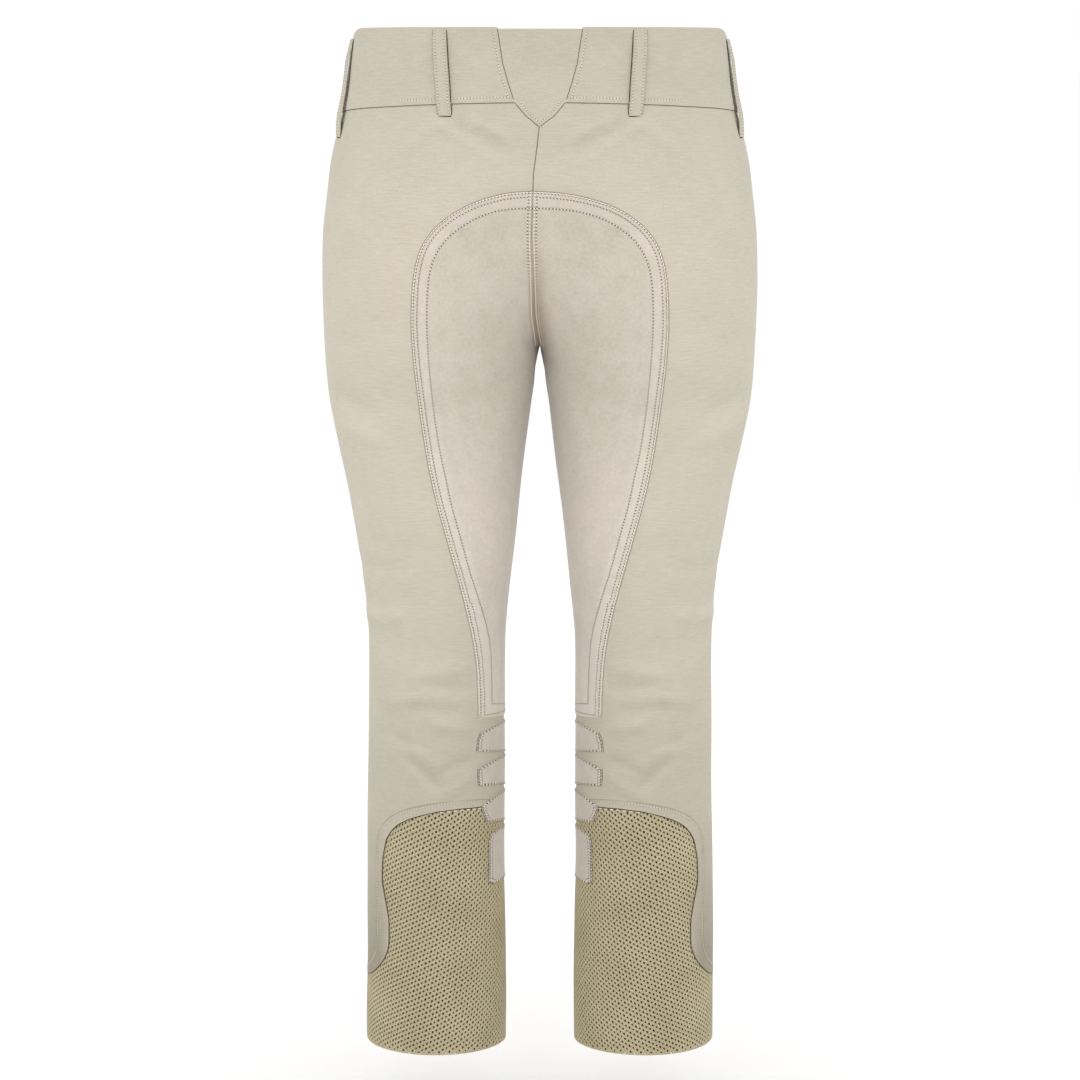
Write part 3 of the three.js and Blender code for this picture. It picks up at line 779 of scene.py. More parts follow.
@dataclass(frozen=True)
class TwillFinish:
    """Stretch twill: fine slanting ribs, short level streaks and slow clouds of tone, with painted light and
    shade on the folds of the back from an attribute, lighter above 0 and darker below 0, and a painted shade
    where the attribute shade is 1."""

    dark: tuple[float, float, float] = (175, 167, 149)
    light: tuple[float, float, float] = (206, 199, 182)
    # The tint of the painted shade low on the outer side and on the back of the lower legs.
    dull: tuple[float, float, float] = (206, 204, 198)
    name: str = "stretch_twill"

    def build(self) -> Material:
        """Builds the material."""
        weave = Weave(self.name, 0.9, 0.12)
        streaks = weave.noise(weave.cloth(75, 640))
        fine = weave.noise(weave.cloth(300, 1700), 2.0)
        clouds = weave.noise(weave.cloth(14, 26), 2.0)
        ribs = weave.node("ShaderNodeTexWave", {
            "Vector": weave.cloth(1, 1, math.radians(58)), "Scale": 190.0, "Distortion": 0.6,
            "Detail": 1.0, "Detail Scale": 4.0}, wave_type="BANDS").outputs["Fac"]
        tone = weave.weigh([(streaks, 0.55), (fine, 0.5), (clouds, 0.3), (ribs, 0.1)])
        # Painted light and shade on the folds of the back: above 0 where a crease faces up, below 0 where it
        # faces down.
        fold = weave.attribute("fold")
        tone = weave.node("ShaderNodeMath", {0: tone, 1: fold}, operation="ADD").outputs["Value"]
        weave.paint(tone, [(0.12, linear(*self.dark)), (0.88, linear(*self.light))], self.dull)
        weave.bump(ribs, 0.00012, 0.5)
        weave.bump(weave.weigh([(streaks, 1.0), (fine, 0.6)]), 0.0003, 0.5)
        weave.roughen(streaks, 0.84, 0.96)
        return weave.material


@dataclass(frozen=True)
class SuedeFinish:
    """Brushed suede-like cloth: a mottled nap, lighter where the attribute border is 1, which on the seat
    also carries painted light low on the legs, and browner where the attribute shade is 1, a painted shadow
    in the seat's cleft."""

    dark: tuple[float, float, float] = (175, 168, 152)
    light: tuple[float, float, float] = (207, 198, 187)
    # brown: the tint of the painted shadow in the seat's cleft, and a faint brown tone on the grips.
    brown: tuple[float, float, float] = (196, 172, 158)
    name: str = "brushed_suede"

    def build(self) -> Material:
        """Builds the material."""
        weave = Weave(self.name, 0.96, 0.3)
        nap = weave.noise(weave.cloth(330, 330), 4.0)
        patches = weave.noise(weave.cloth(75, 60), 3.0)
        clouds = weave.noise(weave.cloth(14, 12), 2.0)
        tone = weave.weigh([(nap, 0.7), (patches, 0.5), (clouds, 0.5), (weave.attribute("border"), 0.2)])
        weave.paint(tone, [(0.1, linear(*self.dark)), (0.9, linear(*self.light))], self.brown)
        weave.bump(nap, 0.0004, 0.6)
        weave.bump(patches, 0.0006, 0.35)
        weave.roughen(nap, 0.9, 1.0)
        return weave.material


@dataclass(frozen=True)
class MeshFinish:
    """Perforated knit: fine upright ribs between the holes."""

    dark: tuple[float, float, float] = (136, 122, 86)
    light: tuple[float, float, float] = (216, 205, 172)
    name: str = "perforated_knit"

    def build(self) -> Material:
        """Builds the material."""
        weave = Weave(self.name, 0.9, 0.1)
        grain = weave.noise(weave.cloth(900, 520), 3.0)
        clouds = weave.noise(weave.cloth(22, 16), 2.0)
        tone = weave.weigh([(grain, 1.1), (clouds, 0.3)])
        weave.paint(tone, [(0.1, linear(*self.dark)), (0.9, linear(*self.light))])
        weave.bump(grain, 0.0003, 0.6)
        weave.roughen(grain, 0.84, 0.96)
        return weave.material


@dataclass(frozen=True)
class ThreadFinish:
    """Sewing thread: light along a stitch and dark at both ends, a painted shade where it goes into the
    cloth.
    """

    light: tuple[float, float, float]
    dark: tuple[float, float, float]
    name: str
    # hole: the share at each end of a stitch that gets the painted shade of the needle hole.
    hole: float = 0.16

    def build(self) -> Material:
        """Builds the material."""
        weave = Weave(self.name, 0.7, 0.05)
        along = weave.node("ShaderNodeSeparateXYZ", {
            "Vector": weave.node("ShaderNodeUVMap", uv_map="cloth").outputs["UV"]}).outputs["X"]
        light, dark, hole = linear(*self.light), linear(*self.dark), self.hole
        stops = [(hole - 0.04, dark), (hole + 0.04, light), (0.96 - hole, light), (1.04 - hole, dark)]
        weave.paint(along, stops)
        return weave.material


@dataclass(frozen=True)
class LiningFinish:
    """A dark sheet of painted shade inside the perforated tube, seen through its holes."""

    dark: tuple[float, float, float] = (26, 17, 5)
    light: tuple[float, float, float] = (46, 33, 15)
    name: str = "dark_inner_ply"

    def build(self) -> Material:
        """Builds the material."""
        weave = Weave(self.name, 0.95, 0.0)
        grain = weave.noise(weave.cloth(700, 700))
        weave.paint(grain, [(0.2, linear(*self.dark)), (0.8, linear(*self.light))])
        weave.bump(grain, 0.0002, 0.5)
        weave.roughen(grain, 0.9, 1.0)
        return weave.material


@dataclass(frozen=True)
class HornFinish:
    """A satin horn-coloured button with cloudy streaks."""

    dark: tuple[float, float, float] = (120, 104, 76)
    light: tuple[float, float, float] = (176, 160, 128)
    name: str = "horn_button"

    def build(self) -> Material:
        """Builds the material."""
        weave = Weave(self.name, 0.35, 0.0)
        place = weave.node("ShaderNodeTexCoord").outputs["Object"]
        cloud = weave.node("ShaderNodeTexNoise", {
            "Vector": place, "Scale": 160.0, "Detail": 4.0, "Distortion": 1.5}).outputs["Fac"]
        weave.paint(cloud, [(0.3, linear(*self.dark)), (0.75, linear(*self.light))])
        weave.roughen(cloud, 0.3, 0.42)
        weave.bump(cloud, 0.0001, 0.4)
        return weave.material


@dataclass
class Finishes:
    """Every material of the garment, built once."""

    twill: Material = field(default_factory=TwillFinish().build)
    suede: Material = field(default_factory=SuedeFinish().build)
    mesh: Material = field(default_factory=MeshFinish().build)
    horn: Material = field(default_factory=HornFinish().build)
    thread: Material = field(
        default_factory=ThreadFinish((226, 218, 204), (92, 78, 62), "sewing_thread", 0.2).build)
    dull_thread: Material = field(
        default_factory=ThreadFinish((226, 218, 206), (70, 58, 46), "grip_thread", 0.2).build)
    border_thread: Material = field(
        default_factory=ThreadFinish((216, 208, 196), (106, 94, 80), "border_thread", 0.22).build)
    pale_thread: Material = field(
        default_factory=ThreadFinish((224, 217, 202), (138, 126, 106), "pale_thread").build)
    bright_thread: Material = field(
        default_factory=ThreadFinish((247, 242, 233), (206, 196, 181), "bright_thread").build)
    # The three seam finishes are dark lines of painted shadow: the gaps of seams and the shade under edges.
    seam: Material = field(
        default_factory=ThreadFinish((128, 117, 97), (112, 101, 82), "seam_line").build)
    soft_seam: Material = field(
        default_factory=ThreadFinish((172, 160, 144), (152, 140, 124), "soft_seam_line").build)
    deep_seam: Material = field(
        default_factory=ThreadFinish((74, 62, 44), (62, 52, 38), "deep_seam_line").build)
    lining: Material = field(default_factory=LiningFinish().build)


# Stitches

@dataclass(frozen=True)
class Stitching:
    """Rows of thread stitches, each a flattened spindle whose ends go into the cloth."""

    pitch: float = 3.0
    length: float = 2.95
    width: float = 1.1
    height: float = 0.42
    lean: float = 0.0

    def spindle(self) -> tuple[Array, Array, Array]:
        """One stitch: four-cornered rings along its length, thinner and lower at both ends.

        Returns:
            Points as shares of length, width and height, faces, and the share along the stitch.
        """
        along = np.array([-0.5, -0.3, 0.3, 0.5])
        girth = np.array([0.75, 1.0, 1.0, 0.75])
        rise = np.array([0.1, 0.25, 0.25, 0.1])
        turn = np.array([0, 0.5, 1, 1.5]) * math.pi
        x = np.repeat(along, 4)
        y = (girth[:, None] * np.cos(turn) / 2).ravel()
        z = (rise[:, None] + girth[:, None] * np.sin(turn) * 0.75).ravel()
        sides = grid_faces(4, 4, closed=True)
        caps = np.array([[3, 2, 1, 0], [12, 13, 14, 15]])
        return np.stack([x, y, z], axis=1), np.concatenate([sides[:, ::-1], caps[:, ::-1]]), x + 0.5

    def run(self, drape: Drape, line: Array, lift: float) -> tuple[Array, Array, Array]:
        """Stitches along a line of u and z on the cloth.

        Args:
            drape: The half and its folds.
            line: Places along the seam.
            lift: Height of the cloth under the thread.

        Returns:
            Points in millimetres, faces and the points' shares along their stitch.
        """
        run = lengths(laid_flat(line))
        at = np.linspace(0, run[-1], max(2, int(run[-1])))
        u, z = (np.interp(at, run, line[:, k]) for k in (0, 1))
        return self.trail(drape.lay(u, z, lift), FIGURE.outward(u, z) * np.array([drape.half.value, 1, 1]))

    def trail(self, path: Array, normals: Array) -> tuple[Array, Array, Array]:
        """Stitches along a path in space, evenly spaced, every second one leaning the other way.

        Args:
            path: Points of the path, close together.
            normals: Outward directions there.

        Returns:
            Points in millimetres, faces and the points' shares along their stitch.
        """
        run = lengths(path)
        count = max(1, int(round(run[-1] / self.pitch)))
        at = (np.arange(count) + 0.5) * run[-1] / count
        read = lambda s, rows: np.stack([np.interp(s, run, rows[:, k]) for k in range(3)], axis=1)
        middle, normal = read(at, path), read(at, normals)
        along = read(at + 0.9, path) - read(at - 0.9, path)
        along -= normal * np.sum(along * normal, axis=1, keepdims=True)
        along /= np.linalg.norm(along, axis=1, keepdims=True)
        across = np.cross(normal, along)
        swing = np.radians(self.lean) * np.where(np.arange(count) % 2, 1, -1)[:, None]
        along, across = (along * np.cos(swing) + across * np.sin(swing),
                         across * np.cos(swing) - along * np.sin(swing))
        shape, faces, share = self.spindle()
        shape = shape * np.array([self.length, self.width, self.height])
        points = (middle[:, None] + along[:, None] * shape[None, :, :1]
                  + across[:, None] * shape[None, :, 1:2] + normal[:, None] * shape[None, :, 2:])
        every = (faces[None] + len(shape) * np.arange(count)[:, None, None]).reshape(-1, 4)
        return points.reshape(-1, 3), every, np.tile(share, count)


# A dark line of painted shadow, laid in the gap of a seam or under an edge.
SEAM_SHADOW_LINE = Stitching(pitch=4.0, length=4.9, width=0.75, height=0.3)


def sew(name: str, runs: list[tuple[Array, Array, Array]], finish: Material) -> Piece:
    """Joins runs of stitches into one piece.

    Args:
        name: The piece's name.
        runs: Points, faces and shares of each run.
        finish: The thread.

    Returns:
        The object.
    """
    starts = np.cumsum([0] + [len(points) for points, _, _ in runs[:-1]])
    points = np.concatenate([points for points, _, _ in runs])
    faces = np.concatenate([faces + start for (_, faces, _), start in zip(runs, starts)])
    share = np.concatenate([share for _, _, share in runs])
    return make_piece(name, points, faces, finish, uv=np.stack([share, np.zeros(len(share))], axis=1))


# Panels, overlays and trims

@dataclass(frozen=True)
class CalfOpening:
    """Where the twill ends over the perforated tube, or its facing ends, on one side of a leg."""

    face: Face
    top: Rows = CALF_EDGE
    side: Rows = TONGUE_EDGE

    def facing(self) -> "CalfOpening":
        """The upper and outer limit of the facing along this edge."""
        return CalfOpening(self.face, FACING_TOP, FACING_SIDE)

    def edge(self) -> Array:
        """The edge from the inseam out, as u and z."""
        return on_cloth(rounded(self.top, 3.0, 1), self.face)

    def tongue(self) -> Array:
        """The edge from the corner down to the tip at the outer side, as u and z."""
        return on_cloth(rounded(self.side, 3.0, 2), self.face)

    def whole(self) -> Array:
        """Both edges as one line, from the inseam to the tip, with their corner eased."""
        start = [[self.face.middle, self.top[0][1] - 0.2]]
        line = np.concatenate([start, self.edge()[:-1], self.tongue()])
        for _ in range(3):
            line[1:-1] = (line[:-2] + 2 * line[1:-1] + line[2:]) / 4
        return line

    def from_side(self, u: Array) -> Array:
        """How far a place is from the outer side of the leg, as a share of u."""
        return (0.5 - u) * self.face.outward

    def distance(self, u: Array, z: Array) -> Array:
        """Millimetres from the edge, positive on the perforated cloth and negative on the twill."""
        edge, tongue = self.edge(), self.tongue()
        order = np.argsort(edge[:, 0])
        over = z > np.interp(u, edge[order, 0], edge[order, 1])
        beside = self.from_side(u) < np.interp(-z, -tongue[:, 1], self.from_side(tongue[:, 0]))
        beside &= (z <= tongue[0, 1]) & (z > tongue[-1, 1] - 2)
        corner = (self.from_side(u) < self.from_side(edge[-1, 0])) & (z > edge[-1, 1])
        return distance_to(u, z, self.whole()) * np.where(over | beside | corner, -1, 1)


@dataclass
class LegPanel:
    """The twill of the back or the front of one half, from the waistband to the perforated tube."""

    drape: Drape
    face: Face
    columns: int = 84
    rows: int = 196
    strip_rows: int = 44
    tuck: float = 6.0
    groove: float = 0.5

    def grid(self) -> tuple[Array, Array, Array]:
        """Places of the panel: straight rows between the waistband and the calf edge, then a strip beside
        the perforated tube whose inner side follows the edge. Columns run from the middle to the side seam.

        Returns:
            u, z and the cells that belong to the panel.
        """
        opening = CalfOpening(self.face)
        edge, tongue = opening.edge(), opening.tongue()
        middle = self.face.middle
        share = lambda u: (u - middle) / (SIDE_SEAM - middle)
        corner = share(edge[-1, 0])
        inner = int(round(self.columns * corner))
        outer = np.linspace(corner, 1, self.columns - inner + 1)[1:]
        w = np.r_[np.linspace(0, corner, inner + 1), outer]
        u_top = middle + (SIDE_SEAM - middle) * w
        top = BAND_EDGES.read(2, u_top) + self.tuck
        order = np.argsort(edge[:, 0])
        bottom = np.where(w <= corner, np.interp(u_top, edge[order, 0], edge[order, 1]), edge[-1, 1])
        t = np.linspace(0, 1, self.rows)[:, None]
        u_main, z_main = np.broadcast_to(u_top, (self.rows, len(w))), top + (bottom - top) * t
        z_strip = np.linspace(tongue[0, 1], tongue[-1, 1], self.strip_rows)[1:]
        u_edge = np.interp(-z_strip, -tongue[:, 1], tongue[:, 0])[:, None]
        out = np.clip((w - corner) / (1 - corner), 0, 1)
        u_strip = u_edge + (SIDE_SEAM - u_edge) * out
        z_strip = z_strip[:, None] - 1.5 * out * smoothstep(-z_strip[:, None], 860, 874)
        keep = np.ones((self.rows + self.strip_rows - 2, len(w) - 1), bool)
        keep[self.rows - 1:, :inner] = False
        return np.concatenate([u_main, u_strip]), np.concatenate([z_main, z_strip]), keep

    def lifts(self, u: Array, z: Array) -> Array:
        """Lift of the outer layer: sunk at the seams, raised on the facing beside the perforated cloth."""
        to_side, to_middle = (FLAT.gap(u, place, z) for place in (SIDE_SEAM, self.face.middle))
        lift = -self.groove * (2 - smoothstep(to_side, 0, 2.4) - smoothstep(to_middle, 0, 2.4))
        opening = CalfOpening(self.face)
        inside = opening.facing().distance(u, z)
        lift += 0.3 * smoothstep(inside, -0.7, 0.7) - 0.25 * np.exp(-((inside - 1.8) / 0.9) ** 2)
        return lift - 0.35 * (1 - smoothstep(-opening.distance(u, z), 0, 1.0))

    def build(self, finishes: Finishes) -> Piece:
        """Makes the panel and declares its cut."""
        u, z, keep = self.grid()
        name = self.drape.name(self.face.value)
        piece = cloth_piece(f"panel_{name}", self.drape, u, z, self.lifts(u, z), -CLOTH_THICK,
                            finishes.twill, (name,), keep, turned=self.face is Face.FRONT)
        self.dress(piece)
        declare(piece, [f"waistband_{name}"])
        return piece

    def dress(self, piece: Piece) -> None:
        """Marks painted light and shade on the folds of the back, lighter where they face up and darker
        where they face down, and painted shade low on the outer side and on the back of the lower legs.
        """
        points = places_of(piece)
        x, z = np.abs(points[:, 0]), points[:, 2]
        # Painted light and shade on the folds: lighter where a crease faces up, darker where it faces down,
        # on the back only.
        height = lambda z: sum(crease.at(x, z) for crease in self.drape.creases)
        slope = (height(z + 0.8) - height(z - 0.8)) / 1.6
        mark(piece, "fold", np.clip(-0.42 * slope, -0.22, 0.22) * smoothstep(-points[:, 1], 0, 30))
        # Painted shade: darker low on the outer side of the leg and low on the back of the legs, where less
        # light falls.
        down = np.interp(-z, (672, 724, 753, 783, 812, 850), (0, 0.25, 0.38, 0.5, 0.72, 1.0))
        calf = 0.16 * smoothstep(-z, 560, 650) * smoothstep(-points[:, 1], 0, 30)
        mark(piece, "shade", np.maximum(down * smoothstep(x, 136, 158), calf))

    def stitches(self, finishes: Finishes) -> list[Piece]:
        """Sews the facing along the calf edge, marks both of its edges with a dark line of painted shadow,
        and makes the row of broad stitches where the perforated cloth hangs from the middle of the edge."""
        opening = CalfOpening(self.face)
        outward = self.face.outward
        name = self.drape.name(self.face.value)
        line, facing, broad = opening.whole(), opening.facing().whole(), opening.edge()
        broad = beside(broad[:max(4, int(len(broad) * 0.52))], outward * 1.7)
        hanging = Stitching(pitch=6.6, length=5.6, width=1.5, height=0.8)
        return [
            sew(f"calf_facing_stitches_{name}", [
                Stitching().run(self.drape, beside(facing, outward * 1.8), 0.25),
                hanging.run(self.drape, broad, -0.7),
            ], finishes.pale_thread),
            sew(f"calf_facing_creases_{name}", [
                SEAM_SHADOW_LINE.run(self.drape, beside(facing, outward * -0.3), 0.0),
            ], finishes.soft_seam),
            sew(f"calf_edge_creases_{name}", [
                SEAM_SHADOW_LINE.run(self.drape, beside(line, outward * 0.35), -0.7),
            ], finishes.deep_seam),
        ]


@dataclass
class CalfTube:
    """The perforated tube of one calf: staggered rows of slanting holes, tucked under the twill."""

    drape: Drape
    around: int = 68
    rows: int = 107
    pitch: float = 2.66
    slant: float = 16.0
    top: float = -678.0
    hole: tuple[float, float] = (0.88, 1.4)
    tilt: float = -26.0
    drift: float = 0.075
    tuck: float = 4.5
    thick: float = 0.5
    sink: float = 1.15
    # The sheet of painted shade inside the tube: where it starts, and its grid.
    ply_top: float = -692.0
    ply_columns: int = 96
    ply_rows: int = 44

    def opening_distance(self, u: Array, z: Array) -> Array:
        """Millimetres inside the edge of the twill, taken on whichever side a place is."""
        back, front = CalfOpening(Face.BACK), CalfOpening(Face.FRONT)
        return np.where(u <= 0.5, back.distance(u, z), front.distance(u, z))

    def cells(self) -> tuple[Array, Array, Array]:
        """Six-cornered cells laid like bricks round the leg, each with a six-cornered hole.

        The rows fall towards the inseam by a cosine of the place. A cell's corners are the two ends and the
        middle of its upper and lower sides; those between kept cells and cells below the hem move to it.
        The hole's corners lie on a leaning ellipse, small beside the hem, and six faces join both rings.

        Returns:
            u and z of all points, and the faces.
        """
        row = np.arange(self.rows + 1)[:, None]
        step = np.arange(2 * self.around)[None, :]
        u = ((step / 2 + self.drift * row) / self.around) % 1.0
        z = self.top - self.pitch * row - self.slant * np.cos(2 * math.pi * u)
        hem = BAND_EDGES.read(3, u).ravel()
        first = (2 * np.arange(self.around)[None, :] + row[:-1] % 2) % (2 * self.around)
        corner = lambda r, offset: (row[:-1] + r) * 2 * self.around + (first + offset) % (2 * self.around)
        places = ((0, 0), (0, 1), (0, 2), (1, 2), (1, 1), (1, 0))
        ring = np.stack([corner(*place) for place in places], axis=-1).reshape(-1, 6)
        flat_u, flat_z = u.ravel(), z.ravel()
        low = (flat_z[ring] - hem[ring]).mean(axis=1)
        gone = low <= self.pitch / 2
        shared = np.intersect1d(ring[gone], ring[~gone])
        flat_z[shared] = hem[shared]
        across = (flat_u[ring] - flat_u[ring[:, :1]] + 0.5) % 1.0 - 0.5
        centre_u = flat_u[ring[:, 0]] + across.mean(axis=1)
        centre_z = flat_z[ring].mean(axis=1)
        angle = np.radians([150, 90, 30, -30, -90, -150])
        wide, tall = (size * (0.14 + 0.86 * smoothstep(low, 1.3, 3.0))[:, None] for size in self.hole)
        lean = math.radians(self.tilt)
        x = wide * np.cos(angle) * math.cos(lean) + tall * np.sin(angle) * math.sin(lean)
        y = tall * np.sin(angle) * math.cos(lean) - wide * np.cos(angle) * math.sin(lean)
        girth = -2 * FLAT.round_to(np.zeros(1), np.full(1, -800.0))[0]
        jitter = 1 + 0.12 * np.sin(np.arange(len(ring)) * 12.9898)
        hole_u = centre_u[:, None] + jitter[:, None] * x / girth
        hole_z = centre_z[:, None] + jitter[:, None] * y
        base = len(flat_u) + 6 * np.arange(len(ring))[:, None]
        k = np.arange(6)
        quads = np.stack([base + k, base + (k + 1) % 6, np.roll(ring, -1, axis=1), ring], axis=-1)
        keep = (self.opening_distance(centre_u % 1.0, centre_z) > -self.tuck) & ~gone
        u, z = np.r_[flat_u, hole_u.ravel() % 1.0], np.r_[flat_z, hole_z.ravel()]
        return u, z, quads[keep].reshape(-1, 4)

    def sunk(self, u: Array, z: Array) -> Array:
        """How deep the tube lies: sunk under the edge of the twill, and level with it further down."""
        return -self.sink * (1 - smoothstep(self.opening_distance(u, z), 0.5, 6.0))

    def build(self, finishes: Finishes) -> Piece:
        """Makes the tube and declares its cut."""
        u, z, faces = self.cells()
        sunk = self.sunk(u, z)
        outer, inner = self.drape.lay(u, z, sunk), self.drape.lay(u, z, sunk - self.thick)
        points, faces = shell(outer, inner, self.drape.facing_out(faces))
        name = self.drape.name("calf")
        piece = make_piece(f"perforated_{name}", points, faces, finishes.mesh, (name,),
                           both_layers(FLAT.round_to(u, z), z))
        sharpen(piece, 40)
        declare(piece, [self.drape.name("panel_back"), self.drape.name("panel_front")])
        return piece

    def lining(self, finishes: Finishes) -> Piece:
        """Makes the dark sheet of painted shade behind the holes, a plain tube without holes, and declares
        its cut.
        """
        rows, columns = self.ply_rows, self.ply_columns
        u = np.broadcast_to(np.linspace(0, 1, columns + 1)[None, :-1], (rows, columns))
        down = np.linspace(0, 1, rows)[:, None]
        z = self.ply_top + (BAND_EDGES.read(3, u) + 1.5 - self.ply_top) * down
        sunk = self.sunk(u, z) - self.thick - 0.15
        faces = self.drape.facing_out(grid_faces(rows, columns, closed=True))
        points, faces = shell(self.drape.lay(u, z, sunk), self.drape.lay(u, z, sunk - 0.3), faces)
        piece = make_piece(self.drape.name("calf_lining"), points, faces, finishes.lining,
                           uv=both_layers(FLAT.round_to(u, z), z))
        declare(piece, [self.drape.name("perforated_calf")])
        return piece


@dataclass
class Patch:
    """A suede-like overlay between an inner line and an outer line, wrapped on past the inseam."""

    drape: Drape
    name: str
    inner: Array
    outer: Array
    columns: int
    wrap_columns: int = 6
    lift: float = 1.1
    closed_above: float = FIGURE.crotch
    straight: bool = False

    def grid(self) -> tuple[Array, Array, Array]:
        """Places: each row is a straight line from the inner line to the outer one, and the rows below
        the crotch go on round the inseam.

        Returns:
            u, z and the cells that belong to the patch.
        """
        f = np.linspace(0, 1, self.columns + 1)[None, :]
        u = self.inner[:, :1] + (self.outer[:, :1] - self.inner[:, :1]) * f
        z = self.inner[:, 1:] + (self.outer[:, 1:] - self.inner[:, 1:]) * f
        for _ in range(5 if self.straight else 0):
            across, up, depth = seen(FIGURE.point(u, z))
            share = (across - across[:, :1]) / (across[:, -1:] - across[:, :1])
            z = z + (up[:, :1] + (up[:, -1:] - up[:, :1]) * share - up) * depth
        wrap = np.linspace(WRAP_U, 0, self.wrap_columns + 1)[None, :-1]
        past = (len(u), self.wrap_columns)
        u = np.concatenate([np.broadcast_to(wrap, past), u], axis=1)
        z = np.concatenate([np.broadcast_to(self.inner[:, 1:], past), z], axis=1)
        keep = np.ones((len(u) - 1, u.shape[1] - 1), bool)
        keep[:, :self.wrap_columns] = self.inner[:-1, 1:] <= self.closed_above
        return u, z, keep

    def outline(self) -> Array:
        """The outer edge with both ends, as u and z."""
        return np.concatenate([self.inner[:1], self.outer, self.inner[-1:]])

    def lifts(self, u: Array, z: Array) -> Array:
        """Lift of the outer layer: full inside, rounded down towards the outer edge."""
        return 0.3 + (self.lift - 0.3) * round_rim(distance_to(u, z, self.outline()), 1.3)

    def build(self, finishes: Finishes, replaces: str, rests_on: str) -> Piece:
        """Makes the patch and declares its cut."""
        u, z, keep = self.grid()
        piece = cloth_piece(self.name, self.drape, u, z, self.lifts(u, z), 0.12, finishes.suede,
                            (replaces,), keep)
        self.dress(piece, u, z)
        declare(piece, [rests_on])
        return piece

    def dress(self, piece: Piece, u: Array, z: Array) -> None:
        """Marks the cloth as pale as a border, with only a trace of the brown tint that paints the shadow of
        the centre seam.
        """
        mark(piece, "border", np.full(len(piece.data.vertices), 1.4))
        mark(piece, "shade", np.full(len(piece.data.vertices), 0.05))


